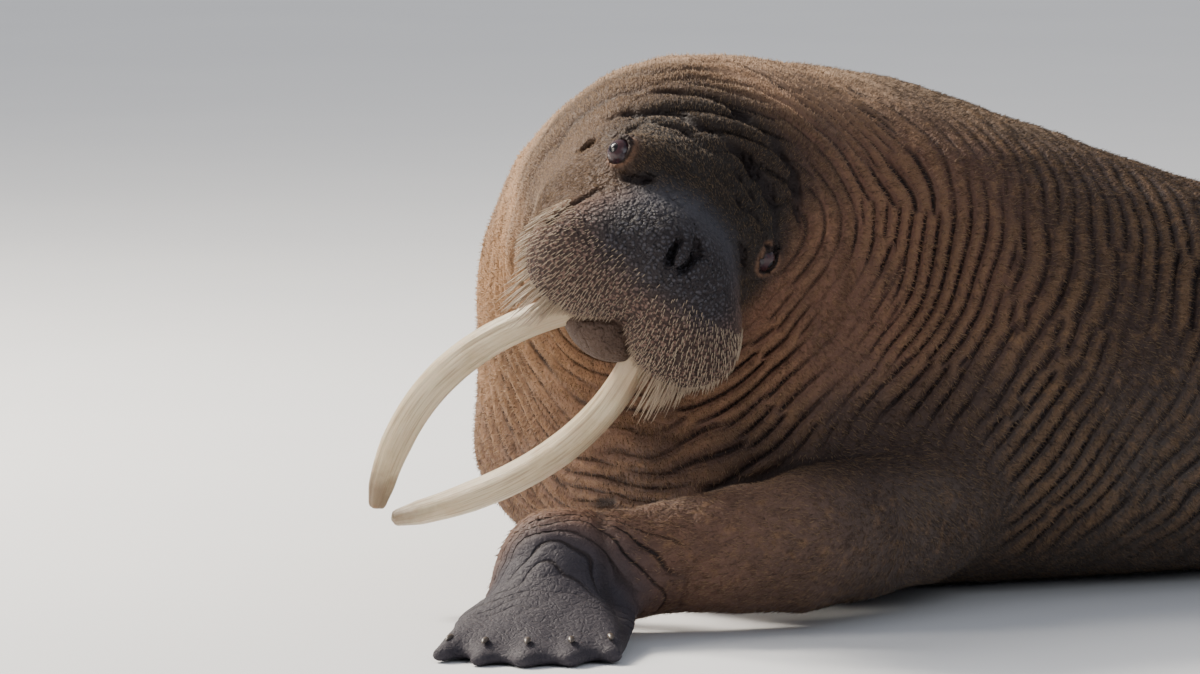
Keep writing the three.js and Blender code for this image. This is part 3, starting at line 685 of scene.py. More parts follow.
# Materials
class Nodes:
    """Short helpers to build one material."""

    def __init__(self, name):
        self.material = bpy.data.materials.new(name)
        self.material.use_nodes = True
        self.tree = self.material.node_tree
        self.shader = self.tree.nodes["Principled BSDF"]
        self.place = self.make("ShaderNodeTexCoord", "Object", {})

    def put(self, socket, value):
        if isinstance(value, bpy.types.NodeSocket):
            self.tree.links.new(value, socket)
        else:
            socket.default_value = value

    def make(self, kind, out, inputs, **settings):
        """Adds a node with these inputs and settings, and gives one of its outputs."""
        node = self.tree.nodes.new(kind)
        for key, value in settings.items():
            setattr(node, key, value)
        for key, value in inputs.items():
            self.put(node.inputs[key], value)
        return node.outputs[out]

    def math(self, operation, a, b=0.0):
        return self.make("ShaderNodeMath", 0, {0: a, 1: b}, operation=operation)

    def times(self, a, b):
        return self.math("MULTIPLY", a, b)

    def plus(self, a, b):
        return self.math("ADD", a, b)

    def most(self, a, b):
        return self.math("MAXIMUM", a, b)

    def vector(self, operation, out, *inputs):
        return self.make("ShaderNodeVectorMath", out, dict(enumerate(inputs)), operation=operation)

    def noise(self, scale, detail=4.0, rough=0.55, place=None, out="Fac"):
        inputs = {"Vector": place or self.place, "Scale": scale, "Detail": detail, "Roughness": rough}
        return self.make("ShaderNodeTexNoise", out, inputs)

    def cells(self, scale, place=None, feature="F1"):
        inputs = {"Vector": place or self.place, "Scale": scale}
        return self.make("ShaderNodeTexVoronoi", "Distance", inputs, feature=feature)

    def attribute(self, name, out="Fac"):
        return self.make("ShaderNodeAttribute", out, {}, attribute_name=name)

    def axis(self, letter):
        return self.make("ShaderNodeSeparateXYZ", letter, {0: self.place})

    def smooth(self, value, low, high, to_low=0.0, to_high=1.0):
        inputs = dict(enumerate((value, low, high, to_low, to_high)))
        return self.make("ShaderNodeMapRange", 0, inputs, interpolation_type="SMOOTHSTEP")

    def mix(self, share, a, b):
        a, b = (c if isinstance(c, bpy.types.NodeSocket) else (*c, 1) for c in (a, b))
        return self.make("ShaderNodeMix", 2, {0: share, 6: a, 7: b}, data_type="RGBA")

    def bump(self, height, distance, strength=1.0, under=None):
        inputs = {"Strength": strength, "Distance": distance, "Height": height}
        if under is not None:
            inputs["Normal"] = under
        return self.make("ShaderNodeBump", 0, inputs)

    def finish(self, colour, roughness, normal=None, **sockets):
        self.put(self.shader.inputs["Base Color"], colour)
        self.put(self.shader.inputs["Roughness"], roughness)
        if normal is not None:
            self.put(self.shader.inputs["Normal"], normal)
        for name, value in sockets.items():
            self.shader.inputs[name.replace("_", " ")].default_value = value
        return self.material


def metres(place):
    return tuple(vec(place) * MM)


def distance_from(n, place):
    """Distance of the shaded place from one given in millimetres."""
    return n.vector("DISTANCE", "Value", n.place, metres(place))


def along(n, direction, origin=(0, 0, 0)):
    """How far the shaded place lies from an origin along a direction, in metres."""
    away = n.vector("SUBTRACT", 0, n.place, metres(origin))
    return n.vector("DOT_PRODUCT", "Value", away, tuple(float(v) for v in direction))


STRAW = (0.44, 0.31, 0.20)
GOLD = (0.30, 0.165, 0.076)
CINNAMON = (0.178, 0.084, 0.052)
UMBER = (0.039, 0.023, 0.018)
TEMPLE_SHADE = (0.054, 0.028, 0.0155)
ASH = (0.066, 0.052, 0.045)
FOREHEAD_SHADE = (0.018, 0.0128, 0.0105)
SLATE = (0.050, 0.049, 0.060)
PAD = (0.185, 0.112, 0.088)
PALM = (0.036, 0.031, 0.039)
CREASE = (0.010, 0.005, 0.005)
LIP = (0.070, 0.042, 0.029)
LID_RIM = (0.150, 0.078, 0.046)
PADS_MIDDLE = (0, 125, -130)
# Places along the fold over the near arm, where painted shade darkens the coat
ARMPIT_SHADE = ((-628, -298, 161), (-577, -365, 181), (-520, -350, 190), (-465, -334, 201), (-398, -354, 231))


def around_place(n, place, outer, inner, share=1.0):
    """The share within the inner distance of a place, in metres, and 0 past the outer one."""
    return n.smooth(distance_from(n, place), outer, inner, 0.0, share)


def around_head(n, place, *share):
    return around_place(n, HEAD.world(place), *share)


def body_colour(n):
    """Cinnamon; umber behind, partly the hide's tone and partly painted shade; painted sunlight in gold over
    the chest and in straw along the back; painted shade in ash low on the flank.
    """
    x, y, z = n.axis("X"), n.axis("Y"), n.axis("Z")
    soft = n.noise(3.0, 3.0)
    # umber towards the rear: partly the hide's own tone, partly painted shade
    colour = n.mix(n.smooth(n.plus(x, n.times(soft, 0.5)), -0.42, 0.12), CINNAMON, UMBER)
    # painted sunlight: gold over the chest's front-left side, fuller higher up
    front = n.smooth(along(n, (-0.80, 0.42, 0.10), (-480, 0, 300)), 0.04, 0.30)
    front = n.times(front, n.smooth(z, 0.10, 0.27, 0.3, 1.0))
    colour = n.mix(n.times(front, 0.8), colour, GOLD)
    # painted sunlight: straw along the top of the back
    ridge = n.smooth(n.plus(z, n.times(n.math("ABSOLUTE", y), -0.55)), 0.36, 0.60)
    colour = n.mix(n.times(ridge, 0.6), colour, STRAW)
    # painted shade: ash grey low on the flank, behind the chest
    low = n.smooth(n.plus(z, n.times(soft, -0.12)), 0.28, 0.08)
    colour = n.mix(n.times(n.times(low, n.smooth(x, -0.98, -0.50)), 0.85), colour, ASH)
    colour = n.mix(n.smooth(n.noise(9.0, 5.0, 0.6), 0.42, 0.68, 0.0, 0.5), colour, UMBER)
    return n.mix(n.smooth(n.noise(70.0, 4.0, 0.65), 0.50, 0.78, 0.0, 0.4), colour, GOLD)


def nose_share(n):
    """How far the slate grey of the nose has taken over from the pads' colour."""
    rise = n.plus(along(n, HEAD.up, HEAD.world((0, 100, -70))), n.times(n.noise(24.0, 3.0), 0.03))
    near = around_head(n, (0, 105, -40), 0.125, 0.070)
    return n.times(n.times(n.smooth(rise, -0.012, 0.036), near), 0.95)


def coat_colour(n):
    """The colours that skin and coat share: the hide's markings, with painted sunlight and painted shade."""
    colour = body_colour(n)
    # painted shade on her right temple, behind the eye
    colour = n.mix(around_head(n, (112, -95, -25), 0.200, 0.125, 0.9), colour, TEMPLE_SHADE)
    # painted highlights on the fold ridges and painted shade in the hollows between them
    relief = n.attribute("relief")
    colour = n.mix(n.smooth(relief, 0.1, 0.9, 0.0, 0.30), colour, GOLD)
    colour = n.mix(n.smooth(relief, -0.1, -0.9, 0.0, 0.7), colour, CREASE)
    # painted shade under the hood folds, on the crown and on the brow between the eyes
    colour = n.mix(around_head(n, (-8, -60, 20), 0.150, 0.085, 0.94), colour, FOREHEAD_SHADE)
    colour = n.mix(around_head(n, (-22, 10, -20), 0.125, 0.088, 0.94), colour, FOREHEAD_SHADE)
    # painted shade in the fold between the chest and the near forearm
    for place in ARMPIT_SHADE:
        colour = n.mix(around_place(n, place, 0.085, 0.030, 0.6), colour, UMBER)
    colour = n.mix(around_head(n, PADS_MIDDLE, 0.162, 0.134), colour, PAD)
    colour = n.mix(nose_share(n), colour, SLATE)
    for limb in FLIPPERS.values():
        colour = n.mix(around_place(n, on_palm(limb, 90), 0.245, 0.150), colour, PALM)
    return colour


def dark_line(n, phase, high):
    """Darkness along the bottoms of one family of folds."""
    ring = n.math("ABSOLUTE", n.math("SINE", n.times(n.attribute(phase), math.pi)))
    return n.smooth(ring, high, 0.04)


def crease_shade(n):
    """Darkness in the creases, from the numbers kept on the mesh."""
    turn = n.attribute("turn")
    first = n.times(dark_line(n, "first", 0.45), n.math("SUBTRACT", 1.0, turn))
    second = n.times(dark_line(n, "second", 0.45), turn)
    dark = n.times(n.plus(first, second), n.attribute("folds"))
    more = n.times(dark_line(n, "wrist", 0.42), n.attribute("wrist_folds"))
    single = n.smooth(n.attribute("single"), 0.8, 6.0, 0.0, 0.9)
    return n.most(n.most(dark, more), single)


def lid_shade(n, outer, inner, share):
    """The share within the inner distance of either eyelid's ring, 0 past the outer one."""
    rings = [eye_frame(side).world((0, LID["ahead"], 3)) for side in (1, -1)]
    return n.most(*[around_place(n, ring, outer, inner, share) for ring in rings])


def skin_bumps(n, dark, pits, fine):
    """The relief too fine for the mesh: creases, wrinkles round the face, cracks, pits and grain."""
    bent = n.vector("MULTIPLY_ADD", 0, n.noise(28.0, 3.0, out="Color"), (0.03, 0.03, 0.03), n.place)
    cracks = n.smooth(n.cells(120.0, bent, "DISTANCE_TO_EDGE"), 0.0, 0.25)
    wrinkles = n.math("ABSOLUTE", n.math("SUBTRACT", n.noise(42.0, 3.0, 0.55), 0.5))
    near_face = around_head(n, (0, 40, -20), 0.20, 0.13)
    normal = n.bump(n.times(dark, -1.0), 0.004, 0.8)
    normal = n.bump(n.times(n.smooth(wrinkles, 0.0, 0.10), near_face), 0.004, 0.7, normal)
    normal = n.bump(cracks, 0.0012, 0.45, normal)
    normal = n.bump(n.noise(120.0, 4.0, 0.6), 0.002, 0.6, normal)
    normal = n.bump(n.times(pits, -1.0), 0.0022, 1.0, normal)
    return n.bump(fine, 0.0012, 0.7, normal)


def skin_material():
    n = Nodes("skin")
    dark = crease_shade(n)
    on_jaw = around_head(n, (0, 70, -185), 0.062, 0.050)
    on_pads = n.times(around_head(n, PADS_MIDDLE, 0.165, 0.125), n.math("SUBTRACT", 1.0, on_jaw))
    pits = n.times(n.smooth(n.cells(210.0), 0.25, 0.60), on_pads)
    colour = n.mix(lid_shade(n, 0.0245, 0.0195, 0.75), coat_colour(n), LID_RIM)
    # painted shade in a thin ring where the lid meets the eyeball
    colour = n.mix(lid_shade(n, 0.0192, 0.0172, 0.9), colour, CREASE)
    colour = n.mix(n.times(dark, 0.92), colour, CREASE)
    colour = n.mix(n.times(pits, 0.8), colour, CREASE)
    colour = n.mix(n.times(on_jaw, 0.9), colour, LIP)
    fine = n.noise(420.0, 3.0, 0.6)
    roughness = n.smooth(fine, 0.3, 0.7, 0.60, 0.85)
    return n.finish(colour, roughness, skin_bumps(n, dark, pits, fine), Specular_IOR_Level=0.3)


# Whiskers: stiff bristles in rows on both pads, longest along the lower and outer edges
WHISKER = dict(
    centre=(58, 46, -104), rows=np.arange(30, -66, -3.7), turns=np.arange(-44, 92, 3.7),
    shift=1.85, loose=1.4, front=5.0, edge=38.0, radius=0.95, sunk=2.5, clear=2.0,
)
WHISKER_TAPER = (1, 1, 0.9, 0.75, 0.5, 0.18)


def last_inside(field, low, high, times):
    """The furthest that the coat's skin reaches between two distances, found by halving."""
    for _ in range(times):
        middle = (low + high) / 2
        inside = field(middle) + COAT_DEPTH < 0
        low, high = np.where(inside, middle, low), np.where(inside, high, middle)
    return low


def face_reach(start, rays):
    """Where rays from a point in the head's frame leave the flesh."""
    low, high = np.zeros(len(rays)), np.full(len(rays), 190.0)
    reach = last_inside(lambda far: head_field(HEAD.world(start + rays * far[:, None])), low, high, 26)
    return start + rays * reach[:, None]


def face_normals(h):
    e = 1.5
    slopes = [head_field(HEAD.world(h + d)) - head_field(HEAD.world(h - d)) for d in np.eye(3) * e]
    return unit(np.stack(slopes, 1))


def whisker_rays(side, rng):
    """Directions from the middle of one pad, in staggered rows: degrees up, degrees out and the rays."""
    rows, turns = np.meshgrid(WHISKER["rows"], WHISKER["turns"], indexing="ij")
    turns = turns + WHISKER["shift"] * (np.arange(len(WHISKER["rows"])) % 2)[:, None]
    loose = WHISKER["loose"]
    lift = np.radians(rows + rng.uniform(-loose, loose, rows.shape)).ravel()
    out = np.radians(turns + rng.uniform(-loose, loose, rows.shape)).ravel()
    rays = np.stack([side * np.sin(out) * np.cos(lift), np.cos(out) * np.cos(lift), np.sin(lift)], 1)
    return np.degrees(lift), np.degrees(out), rays


def whisker_lines(side):
    """Points along each whisker of one pad, in the head's frame, and how thick each is."""
    rng = np.random.default_rng(SEED + 10 * side)
    lift, out, rays = whisker_rays(side, rng)
    roots = face_reach(mirrored(side, WHISKER["centre"]), rays)
    low = step(-22, -52, lift) * step(-10, 25, out)
    edge = np.maximum(low, 0.52 * step(44, 84, out) * step(36, 10, lift))
    length = WHISKER["front"] + (WHISKER["edge"] - WHISKER["front"]) * edge**1.5
    length *= rng.uniform(0.6, 1.3, len(roots))
    spread = rng.normal(0, 0.09, roots.shape)
    droop = np.array([0.2 * side, 0.12, -1.0])
    stand = 0.7 - 0.42 * step(36, 76, out)
    points = unit(stand[:, None] * face_normals(roots) + droop * (0.9 + 0.4 * edge)[:, None] + spread)
    t = np.linspace(0, 1, len(WHISKER_TAPER))[None, :, None]
    far = t * (length + WHISKER["sunk"])[:, None, None] - WHISKER["sunk"]
    sag = (0.14 * length * edge)[:, None, None] * t**2 * np.array([0, 0, -1.0])
    lines = roots[:, None] + points[:, None] * far + sag
    kept = (roots[:, 1] > 24) & (side * roots[:, 0] > 1.5)
    kept &= roots[:, 2] < -62 + 0.22 * np.abs(roots[:, 0]) + rng.uniform(-6, 6, len(roots))
    kept &= rng.uniform(0, 1, len(roots)) > 0.62 * edge
    kept &= whisker_clear(lines, side)
    return lines[kept], np.clip(length[kept] / 34, 0, 1)


def whisker_clear(lines, side):
    """Whether each whisker keeps off the tusk and the jaw."""
    flat = lines[:, 1:].reshape(-1, 3)
    tusk = HEAD.local(tusk_line(side, np.linspace(-TUSK["inside"], 1, 60)))
    away = reach(flat[:, None] - tusk[None]).min(1) > TUSK_RADII[0][1] + WHISKER["clear"]
    off_jaw = ellipsoid(flat, *JAW) > 1.0
    return (away & off_jaw).reshape(len(lines), -1).all(1)


def make_whiskers():
    rows, around = len(WHISKER_TAPER), 5
    angle = turns_of(around)[:, None]
    points, quads, count = [], [], 0
    for side in (1, -1):
        lines, thick = whisker_lines(side)
        ahead = unit(np.gradient(lines, axis=1))
        across = unit(np.cross(ahead, np.array([0.3, 0.9, 0.2])))
        up = np.cross(across, ahead)
        radius = WHISKER["radius"] * (0.5 + 0.5 * thick)[:, None] * np.array(WHISKER_TAPER)
        ring = np.cos(angle) * across[:, :, None] + np.sin(angle) * up[:, :, None]
        made = lines[:, :, None] + ring * radius[:, :, None, None]
        start = count + np.arange(len(lines)) * rows * around
        quads.append((start[:, None, None] + tube_quads(rows, around)).reshape(-1, 4))
        points.append(made.reshape(-1, 3))
        count += len(points[-1])
    return mesh_object("whiskers", HEAD.world(np.concatenate(points)), np.concatenate(quads))


def whisker_material():
    n = Nodes("whisker")
    tone = n.noise(60.0, 2.0)
    return n.finish(n.mix(tone, (0.22, 0.155, 0.11), (0.46, 0.37, 0.26)), 0.5, Specular_IOR_Level=0.3)


# Nails, on the upper side of the digits: which digits have one, and its half width, length and height
NAILS = dict(fore=((0, 1, 2, 3, 4), (4.2, 18, 3.4)), hind=((1, 2, 3), (4.4, 24, 3.4)))
NAIL_PLACE = 0.84  # share of the digit's length
NAIL_RAISE = 0.4  # of its middle, over the skin
LOWEST = 0.4  # height of nails and hairs over the floor


def nail_frame(limb, number):
    """Where a nail sits on the skin, pointing along its digit."""
    base = palm_frame(limb)
    root, way = digit(limb["fan"], number)
    way[2] = -limb["fan"]["slope"]
    at = base.world(root + way * NAIL_PLACE * limb["fan"]["lengths"][number])
    height = last_inside(lambda far: limb_field(limb, at[None] + [[0, 0, float(far)]])[0], 0.0, 60.0, 20)
    return Frame(at + [0, 0, height + NAIL_RAISE], base.world(way) - base.origin, (0, 0, 1))


def nail_rings(rows, around, wide, length, tall):
    """Points of one nail in its own frame: pointed at both ends and bowed up."""
    t = np.linspace(0, 1, rows)[:, None]
    size = np.sqrt(np.clip(1 - (2 * t - 1) ** 2, 0.002, 1)) * (1 - 0.25 * t)
    angle = turns_of(around)
    rings = [
        wide * size * np.cos(angle),
        np.repeat(length * (t - 0.5), around, 1),
        tall * size * np.sin(angle) + 1.4 * np.sin(math.pi * t),
    ]
    return np.stack(rings, -1).reshape(-1, 3)


def make_nails():
    rows, around = 9, 12
    points = []
    for name, limb in FLIPPERS.items():
        digits, size = NAILS[name.split("_")[0]]
        points += [nail_frame(limb, number).world(nail_rings(rows, around, *size)) for number in digits]
    start = np.arange(len(points)) * rows * around
    quads = start[:, None, None] + tube_quads(rows, around, inside_out=True)
    points = np.concatenate(points)
    points[:, 2] = np.maximum(points[:, 2], LOWEST)
    return mesh_object("nails", points, quads.reshape(-1, 4))


def nail_material():
    n = Nodes("nail")
    return n.finish(n.mix(n.noise(90.0), (0.05, 0.04, 0.035), (0.12, 0.095, 0.075)), 0.35)


# Tusks
TUSK = dict(root=(60, 45, -193), tip=(34, -36, -515), apart=10.8, bow=(40, -11, 0), inside=0.24)
TUSK_RADII = ((-1, 18.5), (0, 18.5), (0.4, 19.5), (0.75, 18.5), (0.92, 15), (1, 9.5))
FLUTES = ((2, 0.7), (3, 0.6), (5, 0.5), (9, 0.3), (14, 0.2))  # how many run round the tusk, and how deep


def tusk_line(side, t):
    tip = np.array([TUSK["tip"][0] + side * TUSK["apart"], *TUSK["tip"][1:]], float)
    t = vec(t)[:, None]
    bow = 4 * t * (1 - t) * mirrored(side, TUSK["bow"])
    return HEAD.world(mirrored(side, TUSK["root"]) * (1 - t) + tip * t + bow)


def tusk_radius(t, angle, rng):
    """Distance from the tusk's middle line, with shallow flutes that wind along it and a rounded tip."""
    radius = np.interp(t, *zip(*TUSK_RADII))[:, None] - 0.3
    wound = angle[None, :] + 0.25 * t[:, None]
    starts = rng.uniform(0, 6, len(FLUTES))
    flutes = sum(deep * np.cos(count * wound + start) for (count, deep), start in zip(FLUTES, starts))
    round_off = np.sqrt(np.clip(1 - ((t - 0.985) / 0.0155).clip(0, 1) ** 2, 0, 1))[:, None]
    return (radius - 0.5 + flutes * np.clip(radius / 14, 0, 1)) * np.maximum(round_off, 0.04)


def make_tusk(name, side):
    rows, around = 150, 64
    t, angle = np.linspace(-TUSK["inside"], 1.0, rows), turns_of(around)
    ahead = unit(tusk_line(side, t + 0.01) - tusk_line(side, t - 0.01))
    across = unit(np.cross(ahead, HEAD.forward))
    up = np.cross(across, ahead)
    ring = np.cos(angle)[:, None] * across[:, None] + np.sin(angle)[:, None] * up[:, None]
    radius = tusk_radius(t, angle, np.random.default_rng(SEED + side))
    points = tusk_line(side, t)[:, None] + ring * radius[..., None]
    ends = [list(range(around))[::-1], list(range((rows - 1) * around, rows * around))]
    obj = mesh_object(name, points.reshape(-1, 3), tube_quads(rows, around), ends)
    grain = np.stack(np.broadcast_arrays(np.cos(angle), np.sin(angle), 0.45 * t[:, None]), -1)
    layer = obj.data.attributes.new("grain", "FLOAT_VECTOR", "POINT")
    layer.data.foreach_set("vector", grain.astype(np.float32).ravel())
    keep(obj, "along", np.repeat(t, around))
    return obj


def ivory_material():
    n = Nodes("ivory")
    t = n.attribute("along")
    soft = n.noise(14.0, 5.0, 0.6)
    streak = n.noise(9.0, 6.0, 0.65, n.attribute("grain", "Vector"))
    colour = n.mix(n.smooth(soft, 0.35, 0.7), (0.58, 0.48, 0.33), (0.46, 0.36, 0.22))
    colour = n.mix(n.smooth(streak, 0.46, 0.66, 0.0, 0.75), colour, (0.27, 0.19, 0.11))
    dirt = n.smooth(n.plus(t, n.times(soft, 0.35)), 1.0, 1.16, 0.0, 0.85)
    colour = n.mix(dirt, colour, (0.15, 0.095, 0.05))
    colour = n.mix(n.smooth(t, 0.12, -0.02, 0.0, 0.6), colour, (0.40, 0.29, 0.19))
    roughness, normal = n.smooth(soft, 0.3, 0.7, 0.32, 0.5), n.bump(streak, 0.002, 0.7)
    return n.finish(colour, roughness, normal, Subsurface_Weight=0.12, Subsurface_Scale=0.01)


# Eyes
def make_eye(name, side):
    rows, around = 40, 48
    lean, angle = np.linspace(-90, 90, rows), turns_of(around)
    high = np.radians(lean)[:, None]
    radius = EYE["radius"] - 0.4 + 1.1 * np.exp(-(((90 - lean) / 26) ** 2))[:, None]
    rings = [
        radius * np.cos(high) * np.cos(angle),
        np.repeat(radius * np.sin(high), around, 1),
        radius * np.cos(high) * np.sin(angle),
    ]
    points = eye_frame(side).world(np.stack(rings, -1).reshape(-1, 3))
    obj = mesh_object(name, points, tube_quads(rows, around, inside_out=True))
    keep(obj, "lean", np.repeat(lean, around))
    return obj


def eye_material():
    n = Nodes("eye")
    lean = n.attribute("lean")
    veins = n.noise(240.0, 5.0, 0.7)
    white = n.mix(n.smooth(veins, 0.45, 0.65), (0.022, 0.013, 0.018), (0.05, 0.016, 0.02))
    iris = n.mix(n.noise(500.0, 3.0), (0.030, 0.012, 0.018), (0.055, 0.022, 0.022))
    colour = n.mix(n.smooth(lean, 40, 48), white, iris)
    colour = n.mix(n.smooth(lean, 66, 70), colour, (0.004, 0.003, 0.004))
    wet = n.bump(n.noise(260.0, 3.0, 0.6), 0.0012, 0.6)
    return n.finish(colour, 0.1, wet, Specular_IOR_Level=0.45)


# Camera, light and floor
PIXEL = 1.1  # millimetres across one pixel of the photograph at the target's depth
RANGE = 10000.0
TARGET = np.array([-891.0, -393.0, 340.9])
AZIMUTH, ELEVATION = math.radians(-30), math.radians(6)
PHOTO_WIDTH = 1200


def make_camera():
    level = np.array([math.sin(-AZIMUTH), math.cos(AZIMUTH), 0])
    ahead = level * math.cos(ELEVATION) - np.array([0, 0, math.sin(ELEVATION)])
    place = (TARGET - ahead * RANGE) * MM
    data = bpy.data.cameras.new("camera")
    data.sensor_width = 36
    data.lens = 36 * (RANGE / PIXEL) / PHOTO_WIDTH
    data.clip_end = 200
    camera = bpy.data.objects.new("camera", data)
    camera.location = place
    camera.rotation_euler = Vector(ahead).to_track_quat("-Z", "Y").to_euler()
    bpy.context.scene.collection.objects.link(camera)
    bpy.context.scene.camera = camera


def light(name, kind, energy, colour, **settings):
    data = bpy.data.lights.new(name, kind)
    data.energy = energy
    data.color = colour
    for key, value in settings.items():
        setattr(data, key, value)
    lamp = bpy.data.objects.new(name, data)
    bpy.context.scene.collection.objects.link(lamp)
    return lamp


def area_light(name, place, target, size, power, colour):
    lamp = light(name, "AREA", power, colour, shape="SQUARE", size=size)
    lamp.location = place
    lamp.rotation_euler = (Vector(target) - Vector(place)).to_track_quat("-Z", "Y").to_euler()


def make_room():
    far = 60000.0
    points = np.array([(-far, -far, 0), (far, -far, 0), (far, far, 0), (-far, far, 0)])
    floor = mesh_object("floor", points, np.array([[0, 1, 2, 3]]))
    n = Nodes("floor")
    tone = n.mix(n.noise(1.5, 2.0), (0.74, 0.75, 0.77), (0.80, 0.81, 0.82))
    floor.data.materials.append(n.finish(tone, 0.75))
    world = bpy.data.worlds.new("studio")
    world.use_nodes = True
    sky = world.node_tree.nodes["Background"].inputs
    sky[0].default_value = (0.86, 0.90, 1.0, 1)
    sky[1].default_value = 0.45
    bpy.context.scene.world = world
    area_light("key", (-2.2, 3.0, 3.3), (-0.6, 0, 0.3), 1.0, 480, (1.0, 0.91, 0.78))
    area_light("left", (-4.5, 0.6, 2.0), (-0.7, -0.1, 0.3), 1.2, 70, (1.0, 0.92, 0.80))
    area_light("fill", (-1.0, -5.5, 3.2), (-0.5, 0, 0.3), 3.0, 60, (0.9, 0.95, 1.0))
    lamp = light("sky", "SUN", 1.3, (1.0, 0.96, 0.9), angle=math.radians(25))
    lamp.rotation_euler = Vector((-1.6, 3.0, 4.2)).to_track_quat("Z", "Y").to_euler()


# Coat: short flat hairs, each a thin spike of four faces, lying away from the face and down the limbs
HAIR_LENGTH = 8.0
HAIR_WIDTH = 1.3
HAIR_FACES = np.array([(0, 1, 2), (0, 3, 1), (1, 3, 2), (2, 3, 0)])
PATCH = 0.003  # size of a hair's patch on the map
PATCH_CORNERS = np.array([(0, 0), (1, 0), (0.5, 0.45), (0.5, 1)])
COAT_STARTS = dict(shoulder=-290, flank=60, rear=520)  # the x past which each piece takes over
COAT_PIECES = dict(
    # how many hairs, and the middle and long axis of the form that the piece is unwrapped round
    head=(38000, (-700, -270, 430), (-0.48, -0.84, -0.25)),
    chest=(47000, (-480, -20, 290), (1, 0, 0)),
    shoulder=(47000, (-150, 0, 240), (1, 0, 0)),
    flank=(47000, (250, 0, 200), (1, 0, 0)),
    rear=(47000, (800, 0, 160), (1, 0, 0)),
    limbs=(26000, (-640, -360, 100), (1, 0.1, 0)),
)


def coat_piece_of(p):
    """The number of the piece that each place belongs to."""
    names = list(COAT_PIECES)
    piece = np.full(len(p), names.index("chest"))
    for name, start in COAT_STARTS.items():
        piece[p[:, 0] > start] = names.index(name)
    piece[reach(p - HEAD.world((0, -30, -70))) < 235] = names.index("head")
    for name in ("fore_left", "fore_right"):
        a, b, c = FLIPPERS[name]["limb"]
        arm = np.minimum(capsule(p, a, b), capsule(p, b, c))
        piece[arm < 1.25 * FLIPPERS[name]["radii"][0]] = names.index("limbs")
    return piece


def coat_thickness(p, single, relief):
    """Share of hairs kept: none on the pads, nose and hands or by the eyes, few in creases."""
    kept = 1 + 0.75 * np.minimum(relief, 0)
    kept *= step(118, 165, reach(HEAD.local(p) - (0, 105, -95)))
    for side in (1, -1):
        kept *= step(22, 34, reach(p - eye_frame(side).origin))
    kept *= 1 - step(1.0, 4.0, single)
    for limb in FLIPPERS.values():
        kept *= step(150, 230, reach(p - on_palm(limb, 60)))
    return kept * step(2, 14, p[:, 2])


def coat_lie(p, normals):
    """The way the hairs point, along the skin: across the folds, and down the limbs."""
    lie = np.stack([fold_phase(p + d) - fold_phase(p - d) for d in np.eye(3) * 4.0], 1)
    for limb in FLIPPERS.values():
        b, c = (vec(v) for v in limb["limb"][1:])
        near = step(160, 90, capsule(p, b, c))[:, None]
        lie = lie / np.maximum(np.linalg.norm(lie, axis=1, keepdims=True), 1e-9)
        lie = lie * (1 - near) + unit(c - b) * near
    lie -= (lie * normals).sum(1, keepdims=True) * normals
    return unit(lie)


def unwrap(p, centre, axis):
    """Places on the map: round the axis across it, and along the axis up it."""
    q = Frame(centre, axis, (0, 0.1, 1)).local(p)
    u = np.arctan2(q[:, 0], q[:, 2]) / (2 * math.pi) + 0.5
    v = np.arccos(np.clip(q[:, 1] / reach(q), -1, 1)) / math.pi
    return np.stack([0.01 + 0.97 * u, 0.01 + 0.97 * v], 1)


def hair_corners(roots, normals, lie, rng):
    """Four corners of each hair: two at its root, one on its back and its point."""
    n = len(roots)
    face = step(330, 150, reach(HEAD.local(roots) - (0, 20, -70)))
    length = (HAIR_LENGTH * rng.uniform(0.65, 1.35, n) * (1 - 0.5 * face))[:, None]
    turn = rng.normal(0, 0.34, n)[:, None]
    lie = lie * np.cos(turn) + np.cross(normals, lie) * np.sin(turn)
    lift = np.radians(rng.uniform(8, 24, n))[:, None]
    points = lie * np.cos(lift) + normals * np.sin(lift)
    half = (0.5 * HAIR_WIDTH * rng.uniform(0.7, 1.3, n) * (1 - 0.35 * face))[:, None]
    side = np.cross(normals, lie) * half
    low = roots - 0.5 * normals
    back = roots + 0.45 * normals + 0.12 * length * lie
    corners = np.stack([low + side, low - side, back, roots + points * length], 1)
    corners[..., 2] = np.maximum(corners[..., 2], LOWEST)
    return corners.reshape(-1, 3)


def hair_piece(name, roots, corners, rng, centre, axis):
    index = (np.arange(len(roots))[:, None, None] * 4 + HAIR_FACES).reshape(-1, 3)
    obj = mesh_object(name, corners, index)
    uv = unwrap(roots, centre, axis)[:, None, None] + PATCH * PATCH_CORNERS[HAIR_FACES]
    layer = obj.data.uv_layers.new(name="OFBake")
    layer.data.foreach_set("uv", uv.astype(np.float32).ravel())
    keep(obj, "shade", np.repeat(rng.uniform(0, 1, len(roots)), 4))
    return obj


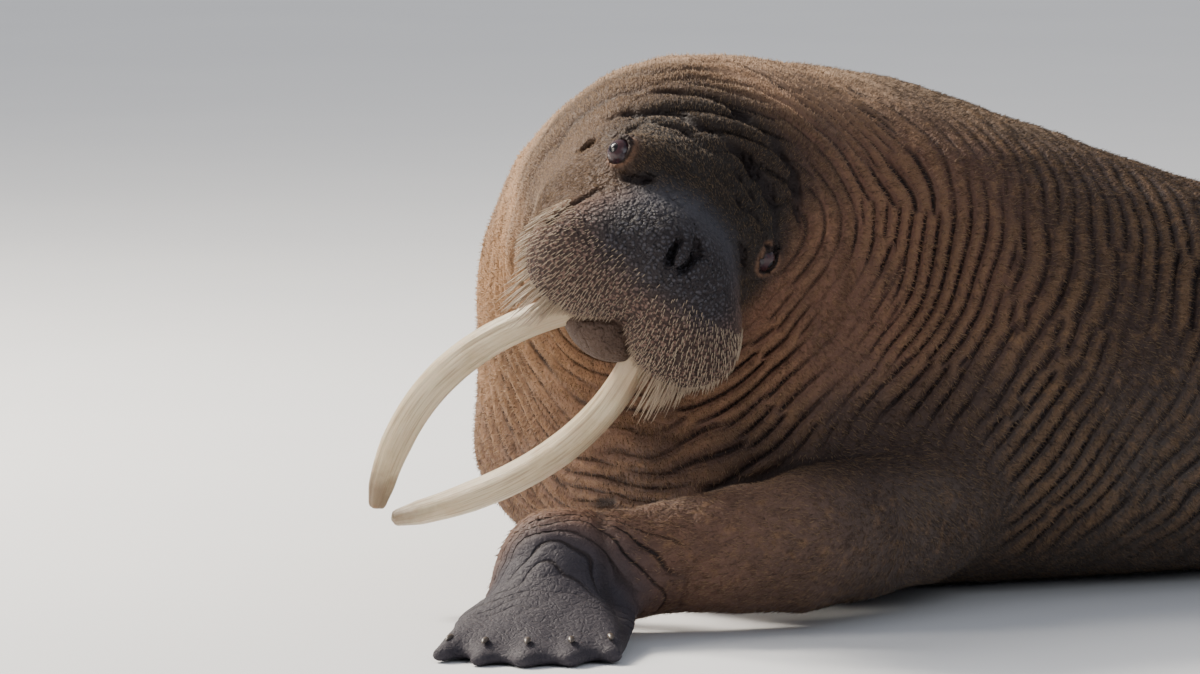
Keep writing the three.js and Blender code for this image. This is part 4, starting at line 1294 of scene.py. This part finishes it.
def make_coat(points, quads, normals, single, relief):
    """The coat's pieces, their hairs rooted on the skin's quads at random."""
    rng = np.random.default_rng(SEED)
    corners = points[quads]
    middle = corners.mean(1)
    diagonals = corners[:, 2] - corners[:, 0], corners[:, 3] - corners[:, 1]
    area = reach(np.cross(*diagonals))
    weight = area * coat_thickness(middle, single[quads].mean(1), relief[quads].mean(1))
    piece = coat_piece_of(middle)
    made = []
    for number, (name, (count, centre, axis)) in enumerate(COAT_PIECES.items()):
        mine = weight * (piece == number)
        chosen = rng.choice(len(quads), count, p=mine / mine.sum())
        s, t = rng.uniform(0, 1, (2, count, 1))
        share = np.stack([(1 - s) * (1 - t), s * (1 - t), s * t, (1 - s) * t], 1)
        roots = (corners[chosen] * share).sum(1)
        out = unit((normals[quads[chosen]] * share).sum(1))
        hairs = hair_corners(roots, out, coat_lie(roots, out), rng)
        made.append(hair_piece("coat_" + name, roots, hairs, rng, centre, axis))
        # the coat keeps the skin's relief for its painted highlights and shade
        keep(made[-1], "relief", np.repeat((relief[quads[chosen]] * share[..., 0]).sum(1), 4))
    return made


def coat_material():
    n = Nodes("coat")
    shade = n.attribute("shade")
    colour = n.mix(n.smooth(shade, 0.2, 1.0, 0.04, 0.36), coat_colour(n), (0.36, 0.24, 0.135))
    colour = n.mix(n.smooth(shade, 0.4, 0.0, 0.0, 0.5), colour, CREASE)
    return n.finish(colour, 0.6, Specular_IOR_Level=0.25)


FLESH_NODES = [
    "chest", "abdomen", "loin", "hindquarters", "neck", "head", "muzzle", "jaw", "tail",
    "forearm_left", "forearm_right", "ankle_left", "ankle_right",
    "fore_flipper_left", "fore_flipper_right", "hind_flipper_left", "hind_flipper_right",
]

skin, skin_parts = make_skin()
skin.data.materials.append(skin_material())
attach(skin, "root")
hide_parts(*FLESH_NODES)
ivory, wet = ivory_material(), eye_material()
for side, word in ((1, "right"), (-1, "left")):
    tusk = make_tusk("tusk_fine_" + word, side)
    tusk.data.materials.append(ivory)
    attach(tusk, "root")
    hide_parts("tusk_" + word)
    eye = make_eye("eye_fine_" + word, side)
    eye.data.materials.append(wet)
    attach(eye, "root")
    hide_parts("eye_" + word)
coat = coat_material()
for piece in make_coat(*skin_parts):
    piece.data.materials.append(coat)
    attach(piece, "root")
for made, material, slot in (
    (make_whiskers(), whisker_material(), "muzzle_skin"),
    (make_nails(), nail_material(), "flipper_skin"),
):
    made.data.materials.append(material)
    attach(made, "root")
make_camera()
make_room()
